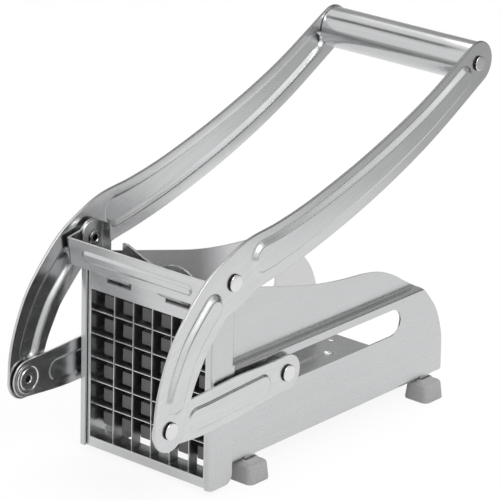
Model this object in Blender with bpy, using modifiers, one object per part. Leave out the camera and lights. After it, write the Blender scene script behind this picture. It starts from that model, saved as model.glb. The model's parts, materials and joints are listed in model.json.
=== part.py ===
"""French fry cutter: a sheet steel trough with a lever-driven pusher that forces
a potato through a square blade grid.

Metres, +Z up. The pieces are placed in a working frame whose Y = 0 is the front
edge of the blades and whose Z = 0 is the middle blade. The empty that carries
everything moves that frame so that the feet stand on Z = 0 and the box round
the whole object is centred in X and Y. +Y runs from the blades to the grip.
"""

import math

import bmesh
import bpy
from mathutils import Matrix, Vector

# Clearances
GAP = 0.0003  # between pieces that touch
RUNNING_GAP = 0.0007  # between the pusher and the walls it slides in
OVERRUN = 0.01  # how far a cutter passes what it cuts
WELD = 1e-6

# Blade grid
CELLS = 6
CELL_PITCH = 0.014
BLADE_THICKNESS = 0.0007
BLADE_DEPTH = 0.007
BOTTOM_ROW_EXTRA = 0.0046  # the bottom row of cells is taller

# Blade frame, the drop-in box that holds the blades
BOX_WALL = 0.001
BOX_DEPTH = 0.0125
FLANGE_THICKNESS = 0.0012
FLANGE_FRONT = -0.0037
FLANGE_ABOVE = 0.0135
FLANGE_BELOW = 0.0058
LOCK_SLOT_WIDTH = 0.018
LOCK_SLOT_HEIGHT = 0.0042
LOCK_SLOT_OFFSET = 0.0215
LOCK_SLOT_ABOVE = 0.0085  # from the top of the opening to the middle of a slot

# Front frame, the two upright channels and the shelf between them
CHANNEL_SHEET = 0.0013
CHANNEL_BESIDE = 0.0069  # from the opening's side to the channel's outer face
CHANNEL_FRONT = -0.0055
CHANNEL_REAR = 0.0126
CHANNEL_BEND = 0.0016
CHANNEL_FOOT_ROUND = 0.0055
LIP_WIDTH = 0.0045
LIP_TOP = 0.057
EAR_RADIUS = 0.0105
REAR_FLANGE_TOP = 0.077

# Trough
TROUGH_SHEET = 0.001
UPPER_WALL_INSET = 0.0053
TROUGH_BEND = 0.0018
TROUGH_UNDERSIDE = -0.0429
LEDGE_TOP = 0.0153
TROUGH_FRONT = 0.0100
TROUGH_REAR = 0.2040
TROUGH_TOP = 0.0615
SIDE_TONGUE_FRONT = -0.0020  # where the side walls start, beside the blade frame
SIDE_TONGUE_LOW = -0.0390
SIDE_TONGUE_HIGH = 0.0120
SLOT_HEIGHT = 0.0160
SLOT_FRONT = 0.0050
SLOT_REAR = 0.1627
BEAD_WIDTH = 0.0080
BEAD_ACROSS = 0.0160
BEAD_HEIGHT = 0.0012
BEAD_FRONT = 0.0450
BEAD_REAR = 0.1800
DRAIN_HOLE_RADIUS = 0.0020
DRAIN_HOLE_FROM_REAR = 0.0090
DRAIN_HOLE_ACROSS = 0.0283
TROUGH_PROFILE_SHARES = (
    (0.049, 0.995),
    (0.108, 0.965),
    (0.196, 0.920),
    (0.284, 0.876),
    (0.392, 0.823),
    (0.490, 0.787),
    (0.578, 0.765),
    (0.652, 0.752),
    (0.721, 0.727),
    (0.784, 0.679),
    (0.845, 0.608),
    (0.897, 0.549),
    (0.931, 0.481),
    (0.966, 0.389),
    (0.992, 0.253),
    (0.998, 0.152),
    (1.000, 0.000),
)

# Feet
FOOT_SIZE = 0.0175
FOOT_TOP_SIZE = 0.0155
FOOT_CORNER = 0.0035
FOOT_HEIGHT = 0.0125
FOOT_FRONT_Y = 0.0297
FOOT_REAR_Y = 0.1890
TAB_WIDTH = 0.0080
TAB_DEPTH = 0.0060

# Handle
PIVOT_Y = 0.0045
PIVOT_Z = 0.0685
GRIP_LENGTH = 0.2124  # from the pivot to the grip, along Y
GRIP_HEIGHT = 0.0765
CRANK_LENGTH = 0.0501  # from the pivot to the lower rivet, forwards
CRANK_DEPTH = 0.0703
ARM_SHEET = 0.0016
ARM_CLEARANCE = 0.0010  # between the link and the arm
ARM_EDGE_STRIP = 0.0055  # flat strip beside the long rib
ARM_RIB_HEIGHT = 0.0024
LOW_RIB_HALF_WIDTH = 0.0085
LOW_RIB_SHIFT = 0.0007
GRIP_RADIUS = 0.0120
GRIP_WALL = 0.0012
PLUG_LENGTH = 0.0060
# Each row: share of the way to the end along Y, along Z, and the half width as a
# share of the half width at the pivot
ARM_HALF_BREADTH = 0.0164
UPPER_ARM_SHARES = (
    (0.072, 0.083, 0.966),
    (0.179, 0.131, 0.918),
    (0.308, 0.210, 0.890),
    (0.461, 0.333, 0.875),
    (0.582, 0.448, 0.860),
    (0.706, 0.583, 0.838),
    (0.827, 0.739, 0.811),
    (1.000, 1.000, 0.787),
)
LOWER_ARM_SHARES = (
    (0.246, 0.074, 0.933),
    (0.446, 0.199, 0.930),
    (0.655, 0.360, 0.915),
    (0.764, 0.481, 0.912),
    (0.882, 0.654, 0.869),
    (0.958, 0.824, 0.823),
    (1.000, 1.000, 0.744),
)
LONG_RIB_SHARES = (0.110, 0.935)  # where it starts and ends between pivot and grip
LONG_RIB_SHIFT = 0.0008
LOW_RIB_SHARES = (0.225, 0.822)  # the same between pivot and lower rivet

# Links
LINK_SHEET = 0.0012
LINK_CLEARANCE = 0.0015  # between the front frame and the link
LINK_LENGTH = 0.1008
LINK_REAR_RADIUS = 0.0107
LINK_RIB_HEIGHT = 0.0007
LINK_RIB_HALF_WIDTH = 0.0075
LINK_RIB_SHIFT = 0.0011
LINK_PIN_Z = 0.0008
LINK_SHARES = ((0.300, -0.011, 1.16), (0.580, -0.005, 1.17), (0.870, 0.000, 1.00))
LINK_RIB_SHARES = (0.240, 0.785)

# Rivets
RIVET_RADIUS = 0.0030
RIVET_HEAD_RADIUS = 0.0049
RIVET_HEAD_HEIGHT = 0.0014
RIVET_FLARE_RADIUS = 0.0044
RIVET_FLARE = 0.0008
RIVET_BORE = 0.0021
RIVET_BORE_DEPTH = 0.0025
EYELET_RADIUS = 0.0085
WASHER_RADIUS = 0.0062

DOME_SHARES = ((0, 1), (0.62, 0.9), (0.92, 0.5), (1, 0))  # across and up a rivet's head

# Pusher
FINGER_GAP = 0.0058
FINGER_TAPER = 0.0008
FINGER_DROP = 0.0015  # below the middles of the cells
FINGER_TIP_Y = 0.0039
FINGER_LENGTH = 0.0114
BLOCK_THICKNESS = 0.0040
BLOCK_CLEARANCE = 0.0025
PLATE_THICKNESS = 0.0015
PLATE_SHOULDER = 0.0560
PLATE_EAR_HEIGHT = 0.0068
PLATE_EAR_FOOT = 0.0190
PLATE_EAR_WIDTH = 0.0035
DOME_RADIUS = 0.0185
DOME_HEIGHT = 0.0036
CARRIAGE_SHEET = 0.0015
CARRIAGE_BEND = 0.0022
CARRIAGE_TOP = 0.0120
CARRIAGE_BOTTOM = -0.0120
CARRIAGE_OVERHANG = 0.0090  # past the middle of the link pin
BUSH_RADIUS = 0.0070
SCREW_RADIUS = 0.0015
SCREW_HEAD_RADIUS = 0.0035
SCREW_HEAD_HEIGHT = 0.0020
SCREW_BITE = 0.0025
SCREW_SPREAD = 0.0280
SCREW_LOW = -0.0070
SCREW_HIGH = 0.0070

# Blade lock, the hinged bar that holds the blade frame down
LOCK_SHEET = 0.0012
LOCK_TOP_Y = -0.0148
LOCK_TOP_Z = 0.0728
LOCK_LOW_Y = -0.0120
LOCK_LOW_Z = 0.0565
LOCK_EAR_RADIUS = 0.0105
LOCK_EAR_SLOPE_Y = -0.0040
LOCK_EAR_SLOPE_Z = 0.0746
LOCK_RIB_HALF_LENGTH = 0.0405
LOCK_RIB_HALF_WIDTH = 0.0037
LOCK_RIB_HEIGHT = 0.0014
LOCK_TAB_WIDTH = 0.0165
LOCK_TAB_KNEE_Y = -0.0085
LOCK_TAB_KNEE_Z = 0.0540
LOCK_TAB_RISE = 0.0009  # above the middle of its slot
LOCK_TAB_BITE = 0.0005

# Pressed ribs, as shares of their height
RIB_KNEE_SHARE = 0.7
RIB_KNEE_INSET_SHARE = 0.6
RIB_INSET_SHARE = 1.1

# Smoothness
ARC_STEPS = 8
TURN_STEPS = 20

# Places that follow from the sizes above
HALF_OPENING = CELLS * CELL_PITCH / 2
OPENING_BOTTOM = -HALF_OPENING - BOTTOM_ROW_EXTRA
BOX_HALF_WIDTH = HALF_OPENING + BOX_WALL
BOX_BOTTOM = OPENING_BOTTOM - BOX_WALL
BOX_REAR = FLANGE_FRONT + BOX_DEPTH
FLANGE_BOTTOM = OPENING_BOTTOM - FLANGE_BELOW
FLANGE_TOP = HALF_OPENING + FLANGE_ABOVE
LOCK_SLOT_Z = HALF_OPENING + LOCK_SLOT_ABOVE
CHANNEL_HALF_WIDTH = HALF_OPENING + CHANNEL_BESIDE
CHANNEL_INNER = CHANNEL_HALF_WIDTH - CHANNEL_SHEET
SHELF_TOP = BOX_BOTTOM - GAP
TROUGH_HALF_WIDTH = CHANNEL_INNER - GAP
TROUGH_INNER = TROUGH_HALF_WIDTH - TROUGH_SHEET
UPPER_WALL = TROUGH_HALF_WIDTH - UPPER_WALL_INSET
FLOOR_TOP = TROUGH_UNDERSIDE + TROUGH_SHEET
GROUND = TROUGH_UNDERSIDE - GAP - FOOT_HEIGHT
LOCK_HALF_WIDTH = CHANNEL_HALF_WIDTH + GAP + LOCK_SHEET
LINK_INNER = CHANNEL_HALF_WIDTH + LINK_CLEARANCE
LINK_HALF_WIDTH = LINK_INNER + LINK_SHEET
ARM_INNER = LINK_HALF_WIDTH + ARM_CLEARANCE
ARM_HALF_WIDTH = ARM_INNER + ARM_SHEET
PLATE_EAR_TOP = PLATE_SHOULDER + PLATE_EAR_HEIGHT
RIVET_HOLE = RIVET_RADIUS + GAP
PIVOT = Vector((0, PIVOT_Y, PIVOT_Z))
GRIP = PIVOT + Vector((0, GRIP_LENGTH, GRIP_HEIGHT))
LOWER_RIVET = PIVOT - Vector((0, CRANK_LENGTH, CRANK_DEPTH))
PIN_RISE = LINK_PIN_Z - LOWER_RIVET.z
LINK_PIN = Vector((0, LOWER_RIVET.y + math.sqrt(LINK_LENGTH**2 - PIN_RISE**2), LINK_PIN_Z))
FINGER_SIZE = CELL_PITCH - FINGER_GAP
FINGER_TIP_SIZE = FINGER_SIZE - FINGER_TAPER
BLOCK_HALF_WIDTH = HALF_OPENING - BLOCK_CLEARANCE
BLOCK_FRONT = FINGER_TIP_Y + FINGER_LENGTH
BLOCK_REAR = BLOCK_FRONT + BLOCK_THICKNESS
PLATE_FRONT = BLOCK_REAR + GAP
PLATE_REAR = PLATE_FRONT + PLATE_THICKNESS
CARRIAGE_FRONT = PLATE_REAR + GAP
CARRIAGE_REAR = LINK_PIN.y + CARRIAGE_OVERHANG
CARRIAGE_OUTER = TROUGH_INNER - RUNNING_GAP
CARRIAGE_INNER = CARRIAGE_OUTER - CARRIAGE_SHEET
PLATE_UPPER_HALF = UPPER_WALL - TROUGH_SHEET - RUNNING_GAP

# Each plane turns an outline's own x and y into two world axes
SIDE = Matrix(((0, 0, 1, 0), (1, 0, 0, 0), (0, 1, 0, 0), (0, 0, 0, 1)))
FRONT = Matrix(((1, 0, 0, 0), (0, 0, -1, 0), (0, 1, 0, 0), (0, 0, 0, 1)))
LEVEL = Matrix.Identity(4)


# Scene


def clear_scene():
    for obj in list(bpy.data.objects):
        bpy.data.objects.remove(obj)
    for collection in list(bpy.data.collections):
        bpy.data.collections.remove(collection)


def new_collection(name):
    collection = bpy.data.collections.new(name)
    bpy.context.scene.collection.children.link(collection)
    return collection


def new_material(name, colour, roughness, metallic):
    material = bpy.data.materials.new(name)
    material.use_nodes = True
    shader = material.node_tree.nodes["Principled BSDF"]
    shader.inputs["Base Color"].default_value = (*colour, 1)
    shader.inputs["Roughness"].default_value = roughness
    shader.inputs["Metallic"].default_value = metallic
    material.diffuse_color = (*colour, 1)
    return material


clear_scene()
PARTS = new_collection("french_fry_cutter")
CUTTERS = new_collection("cutters")
SATIN_STEEL = new_material("satin_steel", (0.62, 0.63, 0.64), 0.34, 1)
BRIGHT_STEEL = new_material("bright_steel", (0.72, 0.72, 0.73), 0.22, 1)
BLADE_STEEL = new_material("blade_steel", (0.66, 0.67, 0.69), 0.25, 1)
BLACK_PLASTIC = new_material("black_plastic", (0.03, 0.03, 0.035), 0.5, 0)
GREY_RUBBER = new_material("grey_rubber", (0.35, 0.35, 0.36), 0.75, 0)


# Outlines, as lists of 2D points


def arc(centre, radius, start, stop, steps=ARC_STEPS):
    """Points from one angle to another, in degrees, both ends included."""
    angles = [math.radians(start + (stop - start) * i / steps) for i in range(steps + 1)]
    return [(centre[0] + radius * math.cos(a), centre[1] + radius * math.sin(a)) for a in angles]


def circle(centre, radius, steps=TURN_STEPS):
    return arc(centre, radius, 0, 360, steps)[:-1]


def rectangle(low, high):
    return [low, (high[0], low[1]), high, (low[0], high[1])]


def rounded_rectangle(low, high, radius, steps=ARC_STEPS // 2):
    left, right = low[0] + radius, high[0] - radius
    bottom, top = low[1] + radius, high[1] - radius
    return (
        arc((right, top), radius, 0, 90, steps)
        + arc((left, top), radius, 90, 180, steps)
        + arc((left, bottom), radius, 180, 270, steps)
        + arc((right, bottom), radius, 270, 360, steps)
    )


def stadium(start, stop, level, radius):
    """A slot with round ends, lying along the outline's x."""
    return arc((start + radius, level), radius, 90, 270) + arc((stop - radius, level), radius, -90, 90)


def filleted(path, radius, steps=ARC_STEPS // 2):
    """An open path with each inner corner turned into an arc."""
    points = [Vector(p) for p in path]
    rounded = [points[0]]
    for before, corner, after in zip(points, points[1:], points[2:]):
        towards = (before - corner).normalized()
        away = (after - corner).normalized()
        half_angle = towards.angle(away) / 2
        setback = radius / math.tan(half_angle)
        centre = corner + (towards + away).normalized() * radius / math.sin(half_angle)
        first = corner + towards * setback - centre
        last = corner + away * setback - centre
        swing = first.angle_signed(last)
        for i in range(steps + 1):
            rounded.append(centre + Matrix.Rotation(-swing * i / steps, 2) @ first)
    rounded.append(points[-1])
    return rounded


def offset_path(points, distances):
    """The points moved to the left of the path's direction."""
    moved = []
    for i, point in enumerate(points):
        ahead = points[min(i + 1, len(points) - 1)] - points[max(i - 1, 0)]
        normal = Vector((-ahead.y, ahead.x)).normalized()
        moved.append(point + normal * distances[i])
    return moved


def bent_sheet(path, thickness, bend):
    """The closed outline of a sheet whose middle follows a bent path."""
    middle = filleted(path, bend)
    sides = []
    for side in (thickness / 2, -thickness / 2):
        moved = []
        for i, point in enumerate(middle):
            before = (point - middle[max(i - 1, 0)]).normalized()
            after = (middle[min(i + 1, len(middle) - 1)] - point).normalized()
            ahead = (before + after).normalized()
            reach = side / max(ahead.dot(after), ahead.dot(before))
            moved.append(point + Vector((-ahead.y, ahead.x)) * reach)
        sides.append(moved)
    return sides[0] + sides[1][::-1]


def smooth_line(points, steps=4):
    """A curve through rows of numbers, with even steps between each pair."""
    rows = [Vector(p) for p in points]
    rows = [2 * rows[0] - rows[1]] + rows + [2 * rows[-1] - rows[-2]]
    line = []
    for a, b, c, d in zip(rows, rows[1:], rows[2:], rows[3:]):
        for i in range(steps):
            t = i / steps
            line.append(
                b + (c - a) * (t / 2) + (2 * a - 5 * b + 4 * c - d) * (t * t / 2)
                + (3 * b - a - 3 * c + d) * (t**3 / 2)
            )
    return line + [rows[-2]]


def strip(middle, half_widths):
    """The outline of a strip along a line, with round ends."""
    left = offset_path(middle, half_widths)
    right = offset_path(middle, [-w for w in half_widths])
    first = middle[0] - middle[1]
    last = middle[-1] - middle[-2]
    tail = math.degrees(math.atan2(first.y, first.x))
    nose = math.degrees(math.atan2(last.y, last.x))
    return (
        right
        + arc(middle[-1], half_widths[-1], nose - 90, nose + 90)[1:-1]
        + left[::-1]
        + arc(middle[0], half_widths[0], tail - 90, tail + 90)[1:-1]
    )


def part_of_line(rows, start, stop):
    """The rows of a line between two shares of its length, with new ends."""
    lengths = [0]
    for a, b in zip(rows, rows[1:]):
        lengths.append(lengths[-1] + (b.xy - a.xy).length)

    def at(length):
        for i in range(1, len(rows)):
            if lengths[i] >= length:
                t = (length - lengths[i - 1]) / (lengths[i] - lengths[i - 1])
                return rows[i - 1].lerp(rows[i], t)
        return rows[-1]

    begin, end = start * lengths[-1], stop * lengths[-1]
    inner = [row for row, length in zip(rows, lengths) if begin < length < end]
    return [at(begin)] + inner + [at(end)]


# Objects


def add_object(name, mesh, material, collection):
    obj = bpy.data.objects.new(name, mesh)
    collection.objects.link(obj)
    if material:
        mesh.materials.clear()
        mesh.materials.append(material)
    return obj


def smooth(mesh):
    mesh.shade_smooth()
    mesh.set_sharp_from_angle(angle=math.radians(35))


def slab(name, outlines, thickness, plane, middle, material=None):
    """A flat outline, with any holes as further outlines, given a thickness.

    middle is the world point that the outline's own zero goes to."""
    curve = bpy.data.curves.new(name, "CURVE")
    curve.dimensions = "2D"
    curve.fill_mode = "BOTH"
    curve.extrude = thickness / 2
    for outline in outlines:
        spline = curve.splines.new("POLY")
        spline.points.add(len(outline) - 1)
        spline.use_cyclic_u = True
        for point, place in zip(spline.points, outline):
            point.co = (place[0], place[1], 0, 1)
    guide = bpy.data.objects.new(name + "_outline", curve)
    bpy.context.scene.collection.objects.link(guide)
    bpy.context.view_layer.update()
    mesh = bpy.data.meshes.new_from_object(guide.evaluated_get(bpy.context.evaluated_depsgraph_get()))
    bpy.data.objects.remove(guide)
    tidy = bmesh.new()
    tidy.from_mesh(mesh)
    bmesh.ops.remove_doubles(tidy, verts=tidy.verts, dist=WELD)
    bmesh.ops.recalc_face_normals(tidy, faces=tidy.faces)
    tidy.to_mesh(mesh)
    tidy.free()
    mesh.name = name
    mesh.transform(plane)
    smooth(mesh)
    obj = add_object(name, mesh, material, PARTS if material else CUTTERS)
    obj.location = middle
    if not material:
        hide(obj)
    return obj


def hide(obj):
    obj.hide_render = True
    obj.display_type = "WIRE"


def box(name, low, high, material=None):
    mesh = bpy.data.meshes.new(name)
    shape = bmesh.new()
    bmesh.ops.create_cube(shape, size=1)
    size = Vector(high) - Vector(low)
    bmesh.ops.scale(shape, vec=size, verts=shape.verts)
    shape.to_mesh(mesh)
    shape.free()
    obj = add_object(name, mesh, material, PARTS if material else CUTTERS)
    obj.location = (Vector(high) + Vector(low)) / 2
    if not material:
        hide(obj)
    return obj


def turned(name, profile, place, direction, material=None):
    """A profile of (radius, distance along), listed from its far end back,
    turned about an axis that points along direction."""
    mesh = bpy.data.meshes.new(name)
    rim = [(radius, 0, along) for radius, along in profile]
    edges = [(i, i + 1) for i in range(len(rim) - 1)]
    if rim[0] == rim[-1]:
        rim.pop()
        edges[-1] = (len(rim) - 1, 0)
    mesh.from_pydata(rim, edges, [])
    obj = add_object(name, mesh, material, PARTS if material else CUTTERS)
    screw = obj.modifiers.new("turn", "SCREW")
    screw.steps = TURN_STEPS
    screw.render_steps = TURN_STEPS
    screw.use_merge_vertices = True
    screw.merge_threshold = WELD
    screw.use_smooth_shade = False
    obj.rotation_euler = Vector(direction).to_track_quat("Z", "Y").to_euler()
    obj.location = place
    if not material:
        hide(obj)
    return obj


def boolean(obj, other, operation):
    modifier = obj.modifiers.new(f"{operation.lower()} {other.name}", "BOOLEAN")
    modifier.operation = operation
    modifier.object = other
    hide(other)


def cut(obj, other):
    boolean(obj, other, "DIFFERENCE")


def join(obj, other):
    boolean(obj, other, "UNION")


def keep(obj, other):
    boolean(obj, other, "INTERSECT")


def loft(name, rings):
    """A closed body through rings of world points, each with as many points."""
    mesh = bpy.data.meshes.new(name)
    shape = bmesh.new()
    rows = [[shape.verts.new(point) for point in ring] for ring in rings]
    shape.faces.new(rows[0])
    shape.faces.new(rows[-1])
    for lower, upper in zip(rows, rows[1:]):
        for i in range(len(lower)):
            shape.faces.new((lower[i - 1], lower[i], upper[i], upper[i - 1]))
    bmesh.ops.recalc_face_normals(shape, faces=shape.faces)
    shape.to_mesh(mesh)
    shape.free()
    obj = add_object(name, mesh, None, CUTTERS)
    hide(obj)
    return obj


def emboss(obj, line, half_widths, height, sheet, plane, outer, inwards):
    """Presses a round-ended rib out of a sheet: a pad on its outer face, and the
    same pad taken from its inner face."""
    knee, inset = height * RIB_KNEE_SHARE, height * RIB_KNEE_INSET_SHARE
    levels = ((-sheet / 2, 0), (knee, inset), (height, height * RIB_INSET_SHARE))
    for name, move, change in (("rib", Vector(), join), ("hollow", inwards * sheet, cut)):
        rings = []
        for level, inset in levels:
            outline = strip(line, [w - inset for w in half_widths])
            rings.append([plane @ Vector((p[0], p[1], 0)) + outer + move - inwards * level for p in outline])
        change(obj, loft(f"{obj.name}_{name}_{len(obj.modifiers)}", rings))


def carry(obj, empty, at):
    obj.parent = empty
    obj.location = obj.location - at


# Pieces that stand still


def make_trough():
    """One sheet folded into a trough: floor, lower walls, ledges and upper walls,
    with the sliding slots through both walls."""
    middle = TROUGH_SHEET / 2
    wall = TROUGH_HALF_WIDTH - middle
    upper = UPPER_WALL - middle
    ledge = LEDGE_TOP - middle
    floor = TROUGH_UNDERSIDE + middle
    right = [(wall, floor), (wall, ledge), (upper, ledge), (upper, TROUGH_TOP)]
    section = [(-x, z) for x, z in right[::-1]] + right
    length = TROUGH_REAR - SIDE_TONGUE_FRONT + 2 * OVERRUN
    centre_y = (TROUGH_REAR + SIDE_TONGUE_FRONT) / 2
    trough = slab("body_trough", [bent_sheet(section, TROUGH_SHEET, TROUGH_BEND)], length, FRONT,
                  (0, centre_y, 0), SATIN_STEEL)
    rise = TROUGH_TOP - TROUGH_UNDERSIDE
    shares = TROUGH_PROFILE_SHARES
    top_edge = smooth_line([(y * TROUGH_REAR, TROUGH_UNDERSIDE + z * rise) for y, z in shares], 3)
    profile = [
        (TROUGH_FRONT, TROUGH_UNDERSIDE - OVERRUN),
        (TROUGH_FRONT, SIDE_TONGUE_LOW),
        (SIDE_TONGUE_FRONT, SIDE_TONGUE_LOW),
        (SIDE_TONGUE_FRONT, SIDE_TONGUE_HIGH),
        (TROUGH_FRONT, SIDE_TONGUE_HIGH),
    ]
    profile += [tuple(p) for p in top_edge] + [(TROUGH_REAR, TROUGH_UNDERSIDE - OVERRUN)]
    keep(trough, slab("trough_profile", [profile], 2 * (TROUGH_HALF_WIDTH + OVERRUN), SIDE, (0, 0, 0)))
    slot = stadium(SLOT_FRONT, SLOT_REAR, LINK_PIN_Z, SLOT_HEIGHT / 2)
    cut(trough, slab("trough_slots", [slot], 2 * (TROUGH_HALF_WIDTH + OVERRUN), SIDE, (0, 0, 0)))
    for side in (1, -1):
        hole = (side * DRAIN_HOLE_ACROSS, TROUGH_REAR - DRAIN_HOLE_FROM_REAR, TROUGH_UNDERSIDE)
        rod = [(0, OVERRUN), (DRAIN_HOLE_RADIUS, OVERRUN), (DRAIN_HOLE_RADIUS, -OVERRUN), (0, -OVERRUN)]
        cut(trough, turned(f"drain_hole_{side}", rod, hole, (0, 0, 1)))
        for y in (FOOT_FRONT_Y, FOOT_REAR_Y):
            centre = Vector((side * wall, y, TROUGH_UNDERSIDE))
            half_tab = Vector((middle, TAB_WIDTH / 2, TAB_DEPTH))
            join(trough, box(f"foot_tab_{side}_{y:.3f}", centre - half_tab, centre + half_tab))
    radius = BEAD_WIDTH / 2
    for side in (1, -1):
        bead = [Vector((side * BEAD_ACROSS, y)) for y in (BEAD_FRONT + radius, BEAD_REAR - radius)]
        emboss(trough, bead, [radius, radius], BEAD_HEIGHT, TROUGH_SHEET, LEVEL,
               Vector((0, 0, TROUGH_UNDERSIDE)), Vector((0, 0, 1)))
    return trough


def make_front_frame():
    """Two upright channels that the blade frame drops into, with ears for the
    handle pivot, and the shelf that the blade frame stands on."""
    middle = CHANNEL_SHEET / 2
    wall = CHANNEL_HALF_WIDTH - middle
    front = CHANNEL_FRONT + middle
    rear = CHANNEL_REAR - middle
    top = PIVOT_Z + EAR_RADIUS
    bottom = FLANGE_BOTTOM
    section = [
        (CHANNEL_HALF_WIDTH - LIP_WIDTH, front),
        (wall, front),
        (wall, rear),
        (UPPER_WALL + GAP, rear),
    ]
    outline = bent_sheet(section, CHANNEL_SHEET, CHANNEL_BEND)
    height = top - bottom + OVERRUN
    frame = slab("front_frame", [outline], height, LEVEL, (0, 0, bottom + height / 2), SATIN_STEEL)
    mirrored = [(-x, y) for x, y in outline]
    join(frame, slab("left_channel", [mirrored], height, LEVEL, (0, 0, bottom + height / 2)))
    join(frame, box("shelf", (-wall, FLANGE_FRONT + FLANGE_THICKNESS + GAP, SHELF_TOP - CHANNEL_SHEET),
                    (wall, BOX_REAR, SHELF_TOP)))
    ear_start = math.degrees(math.acos((CHANNEL_REAR - PIVOT_Y) / EAR_RADIUS))
    ear_stop = math.degrees(math.acos((CHANNEL_FRONT - PIVOT_Y) / EAR_RADIUS)
                            if PIVOT_Y - CHANNEL_FRONT < EAR_RADIUS else math.pi)
    foot_centre = (CHANNEL_REAR - CHANNEL_FOOT_ROUND, bottom + CHANNEL_FOOT_ROUND)
    side_outline = (
        [(CHANNEL_FRONT, bottom)]
        + arc(foot_centre, CHANNEL_FOOT_ROUND, -90, 0)
        + arc((PIVOT_Y, PIVOT_Z), EAR_RADIUS, ear_start, ear_stop)
    )
    behind = CHANNEL_REAR - CHANNEL_BEND - CHANNEL_SHEET
    under = LEDGE_TOP + RUNNING_GAP
    beyond = CHANNEL_HALF_WIDTH + OVERRUN
    cut(frame, box("rear_flange_relief", (-beyond, behind, bottom - OVERRUN),
                   (beyond, CHANNEL_REAR + OVERRUN, under)))
    for side in (1, -1):
        ends = sorted((side * CHANNEL_INNER, side * CHANNEL_HALF_WIDTH))
        join(frame, box(f"side_plate_{side}", (ends[0], behind - OVERRUN / 2, bottom),
                        (ends[1], CHANNEL_REAR, under + CHANNEL_SHEET)))
    keep(frame, slab("frame_side", [side_outline], 2 * beyond, SIDE, (0, 0, 0)))
    inside = wall - CHANNEL_SHEET
    cut(frame, box("lip_relief", (-inside, CHANNEL_FRONT - OVERRUN, LIP_TOP),
                   (inside, CHANNEL_FRONT + 2 * CHANNEL_SHEET, top + OVERRUN)))
    cut(frame, box("rear_flange_top", (-inside, CHANNEL_REAR - 2 * CHANNEL_SHEET, REAR_FLANGE_TOP),
                   (inside, CHANNEL_REAR + OVERRUN, top + OVERRUN)))
    cut(frame, slab("frame_pivot_holes", [circle((PIVOT_Y, PIVOT_Z), RIVET_HOLE)],
                    2 * (CHANNEL_HALF_WIDTH + OVERRUN), SIDE, (0, 0, 0)))
    return frame


def make_blade_frame():
    """The square box that carries the blades, with its broad front flange."""
    box_outer = rectangle((-BOX_HALF_WIDTH, BOX_BOTTOM), (BOX_HALF_WIDTH, BOX_HALF_WIDTH))
    box_inner = rectangle((-HALF_OPENING, OPENING_BOTTOM), (HALF_OPENING, HALF_OPENING))
    frame = slab("blade_frame", [box_outer, box_inner], BOX_DEPTH, FRONT,
                 (0, FLANGE_FRONT + BOX_DEPTH / 2, 0), SATIN_STEEL)
    flange_half = CHANNEL_INNER - RUNNING_GAP
    overlap = BOX_WALL / 2
    flange_outer = rectangle((-flange_half, FLANGE_BOTTOM), (flange_half, FLANGE_TOP))
    flange_inner = rectangle((-HALF_OPENING - overlap, OPENING_BOTTOM - overlap),
                             (HALF_OPENING + overlap, HALF_OPENING + overlap))
    slots = []
    for side in (1, -1):
        centre = side * LOCK_SLOT_OFFSET
        slots.append(rectangle((centre - LOCK_SLOT_WIDTH / 2, LOCK_SLOT_Z - LOCK_SLOT_HEIGHT / 2),
                               (centre + LOCK_SLOT_WIDTH / 2, LOCK_SLOT_Z + LOCK_SLOT_HEIGHT / 2)))
    join(frame, slab("blade_flange", [flange_outer, flange_inner] + slots, FLANGE_THICKNESS, FRONT,
                     (0, FLANGE_FRONT + FLANGE_THICKNESS / 2, 0)))
    reach = BOX_HALF_WIDTH + BOTTOM_ROW_EXTRA + OVERRUN
    slot = BLADE_THICKNESS / 2 + GAP
    deep = BLADE_DEPTH + GAP
    for i, place in enumerate(blade_places()):
        cut(frame, box(f"upright_slot_{i}", (place - slot, -GAP, -reach), (place + slot, deep, reach)))
        cut(frame, box(f"level_slot_{i}", (-reach, -GAP, place - slot), (reach, deep, place + slot)))
    return frame


def blade_places():
    return [(i - (CELLS - 2) / 2) * CELL_PITCH for i in range(CELLS - 1)]


def comb(start, stop, notched_from_rear):
    """One blade's outline, (along, depth), half lapped where the others cross."""
    notch = BLADE_THICKNESS / 2 + GAP
    lap = BLADE_DEPTH / 2
    if notched_from_rear:
        back, floor_of_notch, far = BLADE_DEPTH, lap - GAP / 2, 0
    else:
        back, floor_of_notch, far = 0, lap + GAP / 2, BLADE_DEPTH
    outline = [(start, far), (start, back)]
    for place in blade_places():
        outline += [(place - notch, back), (place - notch, floor_of_notch)]
        outline += [(place + notch, floor_of_notch), (place + notch, back)]
    return outline + [(stop, back), (stop, far)]


def make_blades():
    blades = []
    upright = [(depth, along) for along, depth in comb(BOX_BOTTOM, BOX_HALF_WIDTH, True)]
    level = comb(-BOX_HALF_WIDTH, BOX_HALF_WIDTH, False)
    for i, place in enumerate(blade_places(), 1):
        for name, outline, plane, middle in (
            ("vertical_blade", upright, SIDE, (place, 0, 0)),
            ("horizontal_blade", level, LEVEL, (0, 0, place)),
        ):
            blades.append(slab(f"{name}_{i}", [outline], BLADE_THICKNESS, plane, middle, BLADE_STEEL))
    return blades


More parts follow.
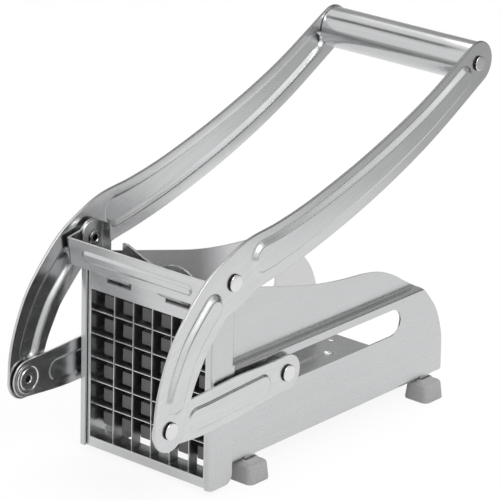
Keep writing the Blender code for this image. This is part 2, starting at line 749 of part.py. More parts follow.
def make_foot(name, x, y):
    """A rubber block that tapers upwards, with a slit for the trough's tab."""
    mesh = bpy.data.meshes.new(name)
    shape = bmesh.new()
    half = FOOT_SIZE / 2
    rim = rounded_rectangle((-half, -half), (half, half), FOOT_CORNER)
    base = shape.faces.new([shape.verts.new((px, py, 0)) for px, py in rim])
    raised = bmesh.ops.extrude_face_region(shape, geom=[base])["geom"]
    top = [v for v in raised if isinstance(v, bmesh.types.BMVert)]
    shrink = FOOT_TOP_SIZE / FOOT_SIZE
    bmesh.ops.scale(shape, vec=(shrink, shrink, 1), verts=top)
    bmesh.ops.translate(shape, vec=(0, 0, FOOT_HEIGHT), verts=top)
    bmesh.ops.remove_doubles(shape, verts=shape.verts, dist=WELD)
    bmesh.ops.recalc_face_normals(shape, faces=shape.faces)
    shape.to_mesh(mesh)
    shape.free()
    smooth(mesh)
    foot = add_object(name, mesh, GREY_RUBBER, PARTS)
    foot.location = (x, y, GROUND)
    top = Vector((x, y, GROUND + FOOT_HEIGHT))
    half_slit = Vector((TROUGH_SHEET / 2 + GAP, TAB_WIDTH / 2 + GAP, TAB_DEPTH))
    cut(foot, box(name + "_slit", top - half_slit, top + half_slit))
    return foot


def make_feet():
    feet = []
    x = TROUGH_HALF_WIDTH - TROUGH_SHEET / 2
    for side, hand in ((1, "right"), (-1, "left")):
        feet.append(make_foot(f"front_{hand}_foot", side * x, FOOT_FRONT_Y))
        feet.append(make_foot(f"rear_{hand}_foot", side * x, FOOT_REAR_Y))
    return feet


def rivet_profile(face, shank_end, flare_radius):
    """A domed head whose seat is at face, a shank, and a flared hollow end."""
    crown = [(RIVET_HEAD_RADIUS * across, face + RIVET_HEAD_HEIGHT * up) for across, up in DOME_SHARES]
    bore_floor = min(shank_end - RIVET_FLARE + RIVET_BORE_DEPTH, face)
    return crown + [
        (RIVET_RADIUS, face),
        (RIVET_RADIUS, shank_end),
        (flare_radius, shank_end),
        (flare_radius, shank_end - RIVET_FLARE),
        (RIVET_BORE, shank_end - RIVET_FLARE),
        (RIVET_BORE, bore_floor),
        (0, bore_floor),
    ]


def make_pivot_hardware():
    pieces = []
    start, end = LOCK_HALF_WIDTH + GAP, ARM_INNER - GAP
    washer = [circle((0, 0), WASHER_RADIUS), circle((0, 0), RIVET_HOLE)]
    for side, hand in ((1, "right"), (-1, "left")):
        profile = rivet_profile(ARM_HALF_WIDTH + GAP, CHANNEL_INNER - GAP, RIVET_FLARE_RADIUS)
        place = (0, PIVOT_Y, PIVOT_Z)
        pieces.append(turned(f"{hand}_pivot_rivet", profile, place, (side, 0, 0), BRIGHT_STEEL))
        pieces.append(slab(f"{hand}_pivot_washer", washer, end - start, SIDE,
                           (side * (start + end) / 2, PIVOT_Y, PIVOT_Z), BRIGHT_STEEL))
    return pieces


# Blade lock


def make_blade_lock():
    """A leaning bar with a pressed rib, an ear at each end on the pivot rivets,
    and two tabs that reach into the slots of the blade frame."""
    rise = LOCK_TOP_Z - LOCK_LOW_Z
    run = LOCK_LOW_Y - LOCK_TOP_Y
    lean = Matrix.Rotation(math.atan2(run, rise), 4, "X")
    length = math.hypot(rise, run)
    middle = Vector((0, (LOCK_TOP_Y + LOCK_LOW_Y) / 2, (LOCK_TOP_Z + LOCK_LOW_Z) / 2))
    inwards = lean @ Vector((0, 1, 0))
    bar = rectangle((-LOCK_HALF_WIDTH, -length / 2), (LOCK_HALF_WIDTH, length / 2))
    plane = lean @ FRONT
    lock = slab("blade_lock", [bar], LOCK_SHEET, plane, middle + inwards * (LOCK_SHEET / 2), SATIN_STEEL)
    edge = LOCK_SHEET / 2
    corner_y = LOCK_LOW_Y + edge
    ear = (
        [(LOCK_TOP_Y + edge, LOCK_TOP_Z), (corner_y, LOCK_LOW_Z)]
        + arc((PIVOT_Y, PIVOT_Z), LOCK_EAR_RADIUS, -90, 115, 2 * ARC_STEPS)
        + [(LOCK_EAR_SLOPE_Y, LOCK_EAR_SLOPE_Z)]
    )
    hole = circle((PIVOT_Y, PIVOT_Z), RIVET_HOLE)
    knee = [
        (corner_y, LOCK_LOW_Z + LOCK_SHEET),
        (LOCK_TAB_KNEE_Y, LOCK_TAB_KNEE_Z),
        (FLANGE_FRONT + LOCK_TAB_BITE, LOCK_SLOT_Z + LOCK_TAB_RISE),
    ]
    tab = bent_sheet(knee, LOCK_SHEET, LOCK_SHEET)
    for side in (1, -1):
        join(lock, slab(f"lock_ear_{side}", [ear, hole], LOCK_SHEET, SIDE,
                        (side * (LOCK_HALF_WIDTH - edge), 0, 0)))
        join(lock, slab(f"lock_tab_{side}", [tab], LOCK_TAB_WIDTH, SIDE, (side * LOCK_SLOT_OFFSET, 0, 0)))
    radius = LOCK_RIB_HALF_WIDTH
    reach = LOCK_RIB_HALF_LENGTH - radius
    rib = [Vector((-reach, 0)), Vector((reach, 0))]
    emboss(lock, rib, [radius, radius], LOCK_RIB_HEIGHT, LOCK_SHEET, plane, middle, inwards)
    return [lock]


# Handle


def arm_rows():
    """The arm's middle line from pivot to grip and from pivot to lower rivet, as
    (y, z, half width)."""
    start = (PIVOT_Y, PIVOT_Z, ARM_HALF_BREADTH)
    upper = [start]
    for y, z, width in UPPER_ARM_SHARES:
        upper.append((PIVOT_Y + y * GRIP_LENGTH, PIVOT_Z + z * GRIP_HEIGHT, width * ARM_HALF_BREADTH))
    lower = [start]
    for y, z, width in LOWER_ARM_SHARES:
        lower.append((PIVOT_Y - y * CRANK_LENGTH, PIVOT_Z - z * CRANK_DEPTH, width * ARM_HALF_BREADTH))
    whole = smooth_line(lower[::-1] + upper[1:])
    at_pivot = 4 * (len(lower) - 1)
    return whole, whole[at_pivot:], whole[: at_pivot + 1][::-1]


def make_arm(side, hand):
    whole, upper, lower = arm_rows()
    outline = strip([row.xy for row in whole], [row.z for row in whole])
    holes = [circle((p.y, p.z), RIVET_HOLE) for p in (PIVOT, GRIP, LOWER_RIVET)]
    arm = slab(f"{hand}_arm", [outline] + holes, ARM_SHEET, SIDE,
               (side * (ARM_HALF_WIDTH - ARM_SHEET / 2), 0, 0), SATIN_STEEL)
    outer = Vector((side * ARM_HALF_WIDTH, 0, 0))
    long_rib = round_ends(part_of_line(upper, *LONG_RIB_SHARES))
    long_line = offset_path([row.xy for row in long_rib], [LONG_RIB_SHIFT] * len(long_rib))
    emboss(arm, long_line, [row.z - ARM_EDGE_STRIP for row in long_rib],
           ARM_RIB_HEIGHT, ARM_SHEET, SIDE, outer, Vector((-side, 0, 0)))
    low_rib = round_ends(part_of_line(lower, *LOW_RIB_SHARES))
    low_line = offset_path([row.xy for row in low_rib], [LOW_RIB_SHIFT] * len(low_rib))
    emboss(arm, low_line, [LOW_RIB_HALF_WIDTH] * len(low_rib),
           ARM_RIB_HEIGHT, ARM_SHEET, SIDE, outer, Vector((-side, 0, 0)))
    return arm


def round_ends(rows):
    """The rows without those so close to an end that they crowd it."""
    first, last = rows[0], rows[-1]
    inner = [
        row for row in rows[1:-1]
        if min((row.xy - first.xy).length, (row.xy - last.xy).length) > ARM_HALF_BREADTH / 4
    ]
    return [first] + inner + [last]


def make_handle():
    pieces = []
    tube_end = ARM_INNER - GAP
    grip = [
        (GRIP_RADIUS, tube_end),
        (GRIP_RADIUS, -tube_end),
        (GRIP_RADIUS - GRIP_WALL, -tube_end),
        (GRIP_RADIUS - GRIP_WALL, tube_end),
        (GRIP_RADIUS, tube_end),
    ]
    pieces.append(turned("grip_tube", grip, GRIP, (1, 0, 0), SATIN_STEEL))
    plug_radius = GRIP_RADIUS - GRIP_WALL - GAP
    plug = [(0, 0), (plug_radius, 0), (plug_radius, -PLUG_LENGTH), (0, -PLUG_LENGTH)]
    rivet_reach = PLUG_LENGTH / 2
    bore = [(0, OVERRUN), (RIVET_HOLE, OVERRUN), (RIVET_HOLE, -rivet_reach - GAP), (0, -rivet_reach - GAP)]
    seat = ARM_HALF_WIDTH + GAP
    for side, hand in ((1, "right"), (-1, "left")):
        pieces.append(make_arm(side, hand))
        end = GRIP + Vector((side * tube_end, 0, 0))
        grip_plug = turned(f"{hand}_grip_plug", plug, end, (side, 0, 0), GREY_RUBBER)
        cut(grip_plug, turned(f"{hand}_plug_bore", bore, end, (side, 0, 0)))
        pieces.append(grip_plug)
        grip_rivet = rivet_profile(seat, ARM_INNER, RIVET_RADIUS)[:4] + [
            (RIVET_RADIUS, seat),
            (RIVET_RADIUS, tube_end - rivet_reach),
            (0, tube_end - rivet_reach),
        ]
        pieces.append(turned(f"{hand}_grip_rivet", grip_rivet, GRIP, (side, 0, 0), BRIGHT_STEEL))
        low = rivet_profile(seat, ARM_INNER - GAP, RIVET_FLARE_RADIUS)
        pieces.append(turned(f"{hand}_arm_rivet", thin_flare(low), LOWER_RIVET, (side, 0, 0), BRIGHT_STEEL))
    return pieces


def thin_flare(profile):
    """The same rivet with its flare kept clear of the link beside it."""
    room = ARM_INNER - GAP - LINK_HALF_WIDTH - GAP
    inner = ARM_INNER - GAP - min(RIVET_FLARE, room)
    flare = ARM_INNER - GAP - RIVET_FLARE
    return [(radius, inner if abs(along - flare) < WELD else along) for radius, along in profile]


# Pusher


def make_pusher_block():
    """The plastic block with one square finger for each cell."""
    mesh = bpy.data.meshes.new("pusher_block")
    shape = bmesh.new()
    squares = 2 * CELLS + 1
    bmesh.ops.create_grid(shape, x_segments=squares, y_segments=squares, size=1)
    half = FINGER_SIZE / 2
    lines = [-BLOCK_HALF_WIDTH]
    for i in range(CELLS):
        centre = (i - (CELLS - 1) / 2) * CELL_PITCH
        lines += [centre - half, centre + half]
    lines.append(BLOCK_HALF_WIDTH)
    for vert in shape.verts:
        column = round((vert.co.x + 1) / 2 * squares)
        row = round((vert.co.y + 1) / 2 * squares)
        vert.co = (lines[column], 0, lines[row])
    fingers = [
        face for face in shape.faces
        if is_finger(face.calc_center_median().x) and is_finger(face.calc_center_median().z)
    ]
    rim = [edge for edge in shape.edges if edge.is_boundary]
    back = bmesh.ops.extrude_edge_only(shape, edges=rim)["geom"]
    back_verts = [v for v in back if isinstance(v, bmesh.types.BMVert)]
    back_edges = [e for e in back if isinstance(e, bmesh.types.BMEdge)]
    bmesh.ops.translate(shape, vec=(0, BLOCK_THICKNESS, 0), verts=back_verts)
    far_edges = [e for e in back_edges if all(v in back_verts for v in e.verts)]
    bmesh.ops.contextual_create(shape, geom=far_edges)
    tips = bmesh.ops.extrude_discrete_faces(shape, faces=fingers)["faces"]
    shrink = FINGER_TIP_SIZE / FINGER_SIZE
    for tip in tips:
        centre = tip.calc_center_median()
        space = Matrix.Translation(-centre)
        bmesh.ops.scale(shape, vec=(shrink, 1, shrink), verts=tip.verts, space=space)
        bmesh.ops.translate(shape, vec=(0, -FINGER_LENGTH, 0), verts=tip.verts)
    bmesh.ops.recalc_face_normals(shape, faces=shape.faces)
    shape.to_mesh(mesh)
    shape.free()
    block = add_object("pusher_block", mesh, BLACK_PLASTIC, PARTS)
    block.location = (0, BLOCK_FRONT, -FINGER_DROP)
    bore = SCREW_RADIUS + GAP
    depth = SCREW_BITE + GAP
    for i, (x, z) in enumerate(screw_places(), 1):
        hole = [(0, OVERRUN), (bore, OVERRUN), (bore, -depth), (0, -depth)]
        cut(block, turned(f"block_screw_hole_{i}", hole, (x, BLOCK_REAR, z), (0, 1, 0)))
    return block


def is_finger(place):
    """True where a place across the block lies in the width of a finger."""
    offset = place / CELL_PITCH + (CELLS - 1) / 2
    return abs(offset - round(offset)) * CELL_PITCH < FINGER_SIZE / 2 and abs(place) < HALF_OPENING


def screw_places():
    return [(x, z) for x in (-SCREW_SPREAD, SCREW_SPREAD) for z in (SCREW_LOW, SCREW_HIGH)]


def make_pusher_plate():
    """The steel plate behind the block. Its lower half reaches under the ledges,
    and its top has two corner ears and a round thumb tab."""
    low = FLOOR_TOP + RUNNING_GAP
    under_ledge = LEDGE_TOP - TROUGH_SHEET - RUNNING_GAP
    dome_centre = PLATE_SHOULDER + DOME_HEIGHT - DOME_RADIUS
    join_angle = math.degrees(math.asin((PLATE_SHOULDER - dome_centre) / DOME_RADIUS))
    right = [
        (CARRIAGE_OUTER, low),
        (CARRIAGE_OUTER, under_ledge),
        (PLATE_UPPER_HALF, under_ledge),
        (PLATE_UPPER_HALF, PLATE_EAR_TOP),
        (PLATE_UPPER_HALF - PLATE_EAR_WIDTH, PLATE_EAR_TOP),
        (PLATE_EAR_FOOT, PLATE_SHOULDER),
    ]
    dome = arc((0, dome_centre), DOME_RADIUS, join_angle, 180 - join_angle, 2 * ARC_STEPS)
    outline = right + dome + [(-x, z) for x, z in right[::-1]]
    holes = [circle(place, SCREW_RADIUS + GAP, TURN_STEPS // 2) for place in screw_places()]
    return slab("pusher_plate", [outline] + holes, PLATE_THICKNESS, FRONT,
                (0, PLATE_FRONT + PLATE_THICKNESS / 2, 0), SATIN_STEEL)


def make_carriage():
    """The channel bent round behind the plate, whose cheeks run beside the slots
    and carry the link pins."""
    cheek = CARRIAGE_OUTER - CARRIAGE_SHEET / 2
    web = CARRIAGE_FRONT + CARRIAGE_SHEET / 2
    path = [(-cheek, CARRIAGE_REAR), (-cheek, web), (cheek, web), (cheek, CARRIAGE_REAR)]
    height = CARRIAGE_TOP - CARRIAGE_BOTTOM
    carriage = slab("pusher_carriage", [bent_sheet(path, CARRIAGE_SHEET, CARRIAGE_BEND)], height, LEVEL,
                    (0, 0, (CARRIAGE_TOP + CARRIAGE_BOTTOM) / 2), SATIN_STEEL)
    cut(carriage, slab("carriage_pin_holes", [circle((LINK_PIN.y, LINK_PIN.z), RIVET_HOLE)],
                       2 * (CARRIAGE_OUTER + OVERRUN), SIDE, (0, 0, 0)))
    holes = [circle(place, SCREW_RADIUS + GAP, TURN_STEPS // 2) for place in screw_places()]
    for i, hole in enumerate(holes, 1):
        cut(carriage, slab(f"carriage_screw_hole_{i}", [hole], 2 * OVERRUN, FRONT, (0, web, 0)))
    return carriage


def make_pusher():
    pieces = [make_pusher_block(), make_pusher_plate(), make_carriage()]
    seat = CARRIAGE_FRONT + CARRIAGE_SHEET + GAP
    tip = BLOCK_REAR - SCREW_BITE
    head = [(SCREW_HEAD_RADIUS * across, SCREW_HEAD_HEIGHT * up) for across, up in DOME_SHARES]
    screw = head + [
        (SCREW_RADIUS, 0),
        (SCREW_RADIUS, tip - seat),
        (0, tip - seat),
    ]
    for i, (x, z) in enumerate(screw_places(), 1):
        pieces.append(turned(f"pusher_screw_{i}", screw, (x, seat, z), (0, 1, 0), BRIGHT_STEEL))
    start, end = CARRIAGE_OUTER + GAP, LINK_INNER - GAP
    bush = [circle((0, 0), BUSH_RADIUS), circle((0, 0), RIVET_HOLE)]
    for side, hand in ((1, "right"), (-1, "left")):
        profile = rivet_profile(LINK_HALF_WIDTH + GAP, CARRIAGE_INNER - GAP, RIVET_FLARE_RADIUS)
        pieces.append(turned(f"{hand}_link_pin", profile, LINK_PIN, (side, 0, 0), BRIGHT_STEEL))
        pieces.append(slab(f"{hand}_slot_bush", bush, end - start, SIDE,
                           (side * (start + end) / 2, LINK_PIN.y, LINK_PIN.z), BRIGHT_STEEL))
    return pieces


# Links


def make_link(side, hand):
    """A gently arched bar from the lower rivet to the link pin, with its eyelet."""
    run = LINK_PIN.y - LOWER_RIVET.y
    rows = [(LOWER_RIVET.y, LOWER_RIVET.z, LINK_REAR_RADIUS)]
    for along, arch, width in LINK_SHARES:
        level = LOWER_RIVET.z + along * (LINK_PIN.z - LOWER_RIVET.z) + arch * LINK_LENGTH
        rows.append((LOWER_RIVET.y + along * run, level, width * LINK_REAR_RADIUS))
    rows.append((LINK_PIN.y, LINK_PIN.z, LINK_REAR_RADIUS))
    line = smooth_line(rows)
    outline = strip([row.xy for row in line], [row.z for row in line])
    holes = [circle((p.y, p.z), RIVET_HOLE) for p in (LOWER_RIVET, LINK_PIN)]
    link = slab(f"{hand}_link", [outline] + holes, LINK_SHEET, SIDE,
                (side * (LINK_HALF_WIDTH - LINK_SHEET / 2), 0, 0), SATIN_STEEL)
    rib = round_ends(part_of_line(line, *LINK_RIB_SHARES))
    rib_line = offset_path([row.xy for row in rib], [-LINK_RIB_SHIFT] * len(rib))
    emboss(link, rib_line, [LINK_RIB_HALF_WIDTH] * len(rib),
           LINK_RIB_HEIGHT, LINK_SHEET, SIDE, Vector((side * LINK_HALF_WIDTH, 0, 0)), Vector((-side, 0, 0)))
    inner = LINK_INNER - GAP
    eyelet = [
        (0, LINK_HALF_WIDTH),
        (RIVET_RADIUS, LINK_HALF_WIDTH),
        (RIVET_RADIUS, inner),
        (EYELET_RADIUS, inner),
        (EYELET_RADIUS, inner - RIVET_FLARE),
        (RIVET_BORE, inner - RIVET_FLARE),
        (RIVET_BORE, inner),
        (0, inner),
    ]
    return [link, turned(f"{hand}_link_eyelet", eyelet, LOWER_RIVET, (side, 0, 0), BRIGHT_STEEL)]


# Assembly


def box_of(objects):
    """The lowest and highest corners round evaluated objects."""
    graph = bpy.context.evaluated_depsgraph_get()
    corners = []
    for obj in objects:
        found = obj.evaluated_get(graph)
        mesh = found.to_mesh()
        corners += [found.matrix_world @ v.co for v in mesh.vertices]
        found.to_mesh_clear()
    low = Vector([min(c[i] for c in corners) for i in range(3)])
    high = Vector([max(c[i] for c in corners) for i in range(3)])
    return low, high


def main():
    fixed = [make_trough(), make_front_frame(), make_blade_frame()] + make_blades() + make_feet()
    fixed += make_pivot_hardware()
    lock = make_blade_lock()
    handle = make_handle()
    pusher = make_pusher()
    links = {hand: make_link(side, hand) for side, hand in ((1, "right"), (-1, "left"))}
    base = bpy.data.objects.new("french_fry_cutter", None)
    PARTS.objects.link(base)
    carriers = {
        "handle_pivot": (PIVOT, base, handle),
        "blade_lock_pivot": (PIVOT, base, lock),
        "pusher_slide": (LINK_PIN, base, pusher),
    }
    for name, (place, parent, pieces) in carriers.items():
        empty = bpy.data.objects.new(name, None)
        PARTS.objects.link(empty)
        empty.parent = parent
        empty.location = place
        for piece in pieces:
            carry(piece, empty, place)
    slide = bpy.data.objects["pusher_slide"]
    for hand, pieces in links.items():
        empty = bpy.data.objects.new(f"{hand}_link_pivot", None)
        PARTS.objects.link(empty)
        empty.parent = slide
        for piece in pieces:
            carry(piece, empty, LINK_PIN)
    for piece in fixed + list(CUTTERS.objects):
        piece.parent = base
    bpy.context.view_layer.update()
    solids = [obj for obj in PARTS.objects if obj.type == "MESH" and not obj.hide_render]
    low, high = box_of(solids)
    base.location = (-(low.x + high.x) / 2, -(low.y + high.y) / 2, -low.z)


main()
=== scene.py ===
import json
import math

import bmesh
import bpy
from mathutils import Matrix, Vector


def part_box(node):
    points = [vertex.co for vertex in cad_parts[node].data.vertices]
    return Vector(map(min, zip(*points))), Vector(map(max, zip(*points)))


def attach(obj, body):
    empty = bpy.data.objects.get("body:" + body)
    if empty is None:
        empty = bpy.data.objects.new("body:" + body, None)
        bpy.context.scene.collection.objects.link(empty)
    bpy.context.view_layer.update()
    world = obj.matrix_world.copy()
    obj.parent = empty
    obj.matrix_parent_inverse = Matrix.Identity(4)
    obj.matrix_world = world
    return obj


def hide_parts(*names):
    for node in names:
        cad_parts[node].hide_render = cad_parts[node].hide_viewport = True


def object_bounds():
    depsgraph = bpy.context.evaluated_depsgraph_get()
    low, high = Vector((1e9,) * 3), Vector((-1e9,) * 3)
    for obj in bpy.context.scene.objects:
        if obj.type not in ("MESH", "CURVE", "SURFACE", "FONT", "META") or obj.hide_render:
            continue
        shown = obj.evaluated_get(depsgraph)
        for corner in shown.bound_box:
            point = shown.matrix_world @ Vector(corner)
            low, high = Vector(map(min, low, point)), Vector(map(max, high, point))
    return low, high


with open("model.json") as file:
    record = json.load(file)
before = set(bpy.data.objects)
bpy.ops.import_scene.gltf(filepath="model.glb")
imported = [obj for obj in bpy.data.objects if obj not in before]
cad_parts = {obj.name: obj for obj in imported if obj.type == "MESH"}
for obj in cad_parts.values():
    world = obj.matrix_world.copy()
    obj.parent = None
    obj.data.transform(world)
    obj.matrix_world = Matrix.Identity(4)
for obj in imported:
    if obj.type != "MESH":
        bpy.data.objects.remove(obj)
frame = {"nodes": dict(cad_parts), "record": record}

cadBounds = [list(corner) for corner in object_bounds()]
nodes = frame["nodes"]
mm = 0.001  # the sizes of the pieces are in mm, and the studio's in metres

# home is where the blades' front edges meet the middle blade
# pieces are modelled from it, with x across, y back and z up
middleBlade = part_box("horizontal_blade_3")
home = Vector((0, middleBlade[0][1], (middleBlade[0][2] + middleBlade[1][2]) / 2))
toPlace = Matrix.Translation(home) @ Matrix.Scale(mm, 4)
groundLevel = cadBounds[0][2]


# Camera

cameraSetup = {
    "place": (1089.4, -1232.0, 680.1),  # from home
    "turn": 39.664,  # degrees round the object
    "rise": 20.180,
    "roll": 1.566,
    "lens": 232.92,
    "sensor": 36,
}


def makeCamera():
    setup = cameraSetup
    data = bpy.data.cameras.new("camera")
    data.sensor_width = setup["sensor"]
    data.lens = setup["lens"]
    camera = bpy.data.objects.new("camera", data)
    bpy.context.scene.collection.objects.link(camera)
    aim = Matrix.Rotation(math.radians(setup["turn"]), 4, "Z")
    aim = aim @ Matrix.Rotation(math.radians(90 - setup["rise"]), 4, "X")
    aim = aim @ Matrix.Rotation(math.radians(setup["roll"]), 4, "Z")
    camera.matrix_world = Matrix.Translation(toPlace @ Vector(setup["place"])) @ aim
    bpy.context.scene.camera = camera
    print("camera in place")


# Materials

# tone, roughness, how far the roughness wanders, depth of the grain, and how far the tone wanders
steelLooks = {
    "satin": ((0.61, 0.615, 0.62), 0.25, 0.05, 0.10, 0.05),
    # a copy of satin with painted shade, for the left arm
    "shaded_arm": ((0.61, 0.615, 0.62), 0.25, 0.05, 0.10, 0.05),
    "body": ((0.56, 0.565, 0.57), 0.27, 0.05, 0.08, 0.025),
    # the trough's inner walls: a steel with painted shade towards the front
    "shaded_wall": ((0.62, 0.62, 0.63), 0.25, 0.05, 0.08, 0.03),
    "cut": ((0.60, 0.60, 0.60), 0.40, 0.05, 0.10, 0.05),
    "tube": ((0.57, 0.575, 0.58), 0.22, 0.05, 0.15, 0.04),
    "bright": ((0.70, 0.70, 0.70), 0.20, 0.05, 0.08, 0.02),
    # the blades' front faces: brighter steel, a painted highlight
    "blade": ((0.86, 0.865, 0.87), 0.32, 0.08, 0.15, 0.04),
    # the blades' sides: darker steel, painted shade
    "ground": ((0.34, 0.34, 0.345), 0.36, 0.08, 0.15, 0.04),
    # a darker copy of the rivet steel for the left side: painted shade
    "shaded_rivet": ((0.30, 0.30, 0.30), 0.30, 0.05, 0.08, 0.03),
    # the lock's inner faces: a darker steel with painted shade
    "inside": ((0.50, 0.50, 0.50), 0.30, 0.05, 0.08, 0.03),
    "shadowed": ((0.035, 0.035, 0.035), 0.45, 0.05, 0.08, 0.03),
}
# some steel changes along an axis: each end's place, in mm from home, and its share of the tone
toneChange = {
    # painted shade: the trough's inner walls darker towards the front
    "shaded_wall": ("Y", (86, 0.50), (112, 0.96)),
    # painted shade: the cut edges darker higher up, on the upper arms
    "cut": ("Z", (74, 1.0), (90, 0.30)),
    # painted shade: the lock's inner faces near black in the corner between bar and ears
    "inside": ("Y", (-13, 0.06), (-6, 1.0)),
    # painted shade: the left arm darker towards the front and lighter at the back
    "shaded_arm": ("Y", (25, 0.82), (105, 1.08)),
}
# waves to the metre across the grain and along it
noiseWaves = {"grain": (3500, 60), "streak": (650, 14), "cloud": (60, 30)}
grainAlong = {"x": (1, 0, 0), "y": (0, 1, 0), "z": (0, 0, 1), "arm": (0, 1, 0)}
grainLean = {"arm": math.atan2(76.5, 212.4)}  # the arms' grain follows their upper part
grainDepth = 0.02 * mm
noiseDetail = {"Detail": 3.0, "Roughness": 0.6}
# how much of the grain goes into the roughness, and the range that each mix of noises covers
steelMix = {"grain": 0.6, "tone": (0.7, 1.3), "roughness": (0.5, 1.1)}


def newMaterial(name):
    material = bpy.data.materials.new(name)
    material.use_nodes = True
    tree = material.node_tree
    return material, tree, tree.nodes["Principled BSDF"]


def addNode(tree, kind, **inputs):
    node = tree.nodes.new(kind)
    for key, value in inputs.items():
        node.inputs[key.replace("_", " ")].default_value = value
    return node


def mathNode(tree, operation, *parts):
    # each part is a number or another node's output
    node = tree.nodes.new("ShaderNodeMath")
    node.operation = operation
    for socket, part in zip(node.inputs, parts):
        if isinstance(part, (int, float)):
            socket.default_value = part
        else:
            tree.links.new(part, socket)
    return node.outputs["Value"]


def mapNode(tree, value, given, wanted):
    # carries a value from one range over to another
    node = addNode(tree, "ShaderNodeMapRange", From_Min=given[0], From_Max=given[1],
                   To_Min=wanted[0], To_Max=wanted[1])
    tree.links.new(value, node.inputs["Value"])
    return node.outputs["Result"]


def dressShader(tree, shader, tone, share, roughness, height, strength, depth):
    # the tone times a changing share, a changing roughness and a bump
    tint = tree.nodes.new("ShaderNodeVectorMath")
    tint.operation = "SCALE"
    tint.inputs[0].default_value = tone
    tree.links.new(share, tint.inputs["Scale"])
    tree.links.new(tint.outputs["Vector"], shader.inputs["Base Color"])
    tree.links.new(roughness, shader.inputs["Roughness"])
    bump = addNode(tree, "ShaderNodeBump", Strength=strength, Distance=depth)
    tree.links.new(height, bump.inputs["Height"])
    tree.links.new(bump.outputs["Normal"], shader.inputs["Normal"])


def makeSteel(look, along):
    tone, roughness, spread, strength, wander = steelLooks[look]
    material, tree, shader = newMaterial(f"{look}_steel_{along}")
    place = addNode(tree, "ShaderNodeTexCoord").outputs["Object"]
    noises = {}
    for name, (across, length) in noiseWaves.items():
        waves = [length if part else across for part in grainAlong[along]]
        stretch = addNode(tree, "ShaderNodeMapping", Rotation=(grainLean.get(along, 0), 0, 0))
        stretch.vector_type = "TEXTURE"
        stretch.inputs["Scale"].default_value = [1 / count for count in waves]
        tree.links.new(place, stretch.inputs["Vector"])
        noise = addNode(tree, "ShaderNodeTexNoise", Scale=1.0, **noiseDetail)
        tree.links.new(stretch.outputs["Vector"], noise.inputs["Vector"])
        noises[name] = noise.outputs["Fac"]
    mottle = mathNode(tree, "ADD", noises["streak"], noises["cloud"])
    share = mapNode(tree, mottle, steelMix["tone"], (1 - wander, 1 + wander))
    if look in toneChange:
        axis, (start, startShare), (stop, stopShare) = toneChange[look]
        split = tree.nodes.new("ShaderNodeSeparateXYZ")
        tree.links.new(place, split.inputs["Vector"])
        origin = home["XYZ".index(axis)]
        ends = (origin + start * mm, origin + stop * mm)
        change = mapNode(tree, split.outputs[axis], ends, (startShare, stopShare))
        share = mathNode(tree, "MULTIPLY", share, change)
    rub = mathNode(tree, "MULTIPLY_ADD", noises["grain"], steelMix["grain"], noises["cloud"])
    rough = mapNode(tree, rub, steelMix["roughness"], (roughness - spread, roughness + spread))
    dressShader(tree, shader, tone, share, rough, noises["grain"], strength, grainDepth)
    shader.inputs["Metallic"].default_value = 1.0
    return material


# tone, roughness, specks to the metre and their depth in mm
mouldedLooks = {
    "black_plastic": ((0.11, 0.111, 0.113), 0.38, 900, 0.03),
    "grey_rubber": ((0.33, 0.33, 0.335), 0.72, 1400, 0.05),
}
# the range the specks cover, their shares of the tone, their part in the roughness, and the bump
mouldedSpread = {"noise": (0.35, 0.65), "tone": (0.88, 1.1), "roughness": 0.05, "bump": 0.3}


def makeMoulded(name):
    tone, roughness, specks, depth = mouldedLooks[name]
    spread = mouldedSpread
    material, tree, shader = newMaterial(name)
    place = addNode(tree, "ShaderNodeTexCoord")
    fine = addNode(tree, "ShaderNodeTexNoise", Scale=specks, **noiseDetail)
    tree.links.new(place.outputs["Object"], fine.inputs["Vector"])
    speck = fine.outputs["Fac"]
    share = mapNode(tree, speck, spread["noise"], spread["tone"])
    wander = (roughness - spread["roughness"], roughness + spread["roughness"])
    rough = mapNode(tree, speck, spread["noise"], wander)
    dressShader(tree, shader, tone, share, rough, speck, spread["bump"], depth * mm)
    return material


satinArm = makeSteel("satin", "arm")
# the left arm's steel, with painted shade
shadedLeftArm = makeSteel("shaded_arm", "arm")
satinAcross = makeSteel("satin", "x")
satinLong = makeSteel("satin", "y")
bodyLong = makeSteel("body", "y")
bodyUpright = makeSteel("body", "z")
# steel for the trough's inner walls, with painted shade towards the front
shadedWallLong = makeSteel("shaded_wall", "y")
# the sheets' cut edges, with painted shade higher up
cutEdgeWithShade = makeSteel("cut", "x")
tubeSteel = makeSteel("tube", "x")
brightSteel = makeSteel("bright", "x")
shadowedSteel = makeSteel("shadowed", "x")
# the blades' steel: a painted highlight on the fronts and painted shade on the sides
litBladeFront = makeSteel("blade", "x")
shadedBladeSide = makeSteel("ground", "x")
# the left rivets' steel, with painted shade
shadedRivetSteel = makeSteel("shaded_rivet", "x")
# steel for the lock's inner faces, with painted shade in the corner
cornerShadeSteel = makeSteel("inside", "z")
blackPlastic = makeMoulded("black_plastic")
greyRubber = makeMoulded("grey_rubber")
print("materials made")


# Making a piece

bodyOf = {}
for body, members in frame["record"]["behaviour"]["bodies"].items():
    for member in members:
        bodyOf[member] = body


def newObject(bm, name):
    mesh = bpy.data.meshes.new(name)
    bm.to_mesh(mesh)
    bm.free()
    made = bpy.data.objects.new(name, mesh)
    bpy.context.scene.collection.objects.link(made)
    return made


def copyOf(node):
    bm = bmesh.new()
    bm.from_mesh(nodes[node].data)
    bmesh.ops.transform(bm, matrix=toPlace.inverted(), verts=bm.verts)
    bmesh.ops.remove_doubles(bm, verts=bm.verts, dist=0.001)
    bmesh.ops.dissolve_limit(bm, angle_limit=math.radians(0.5), verts=bm.verts, edges=bm.edges)
    return bm


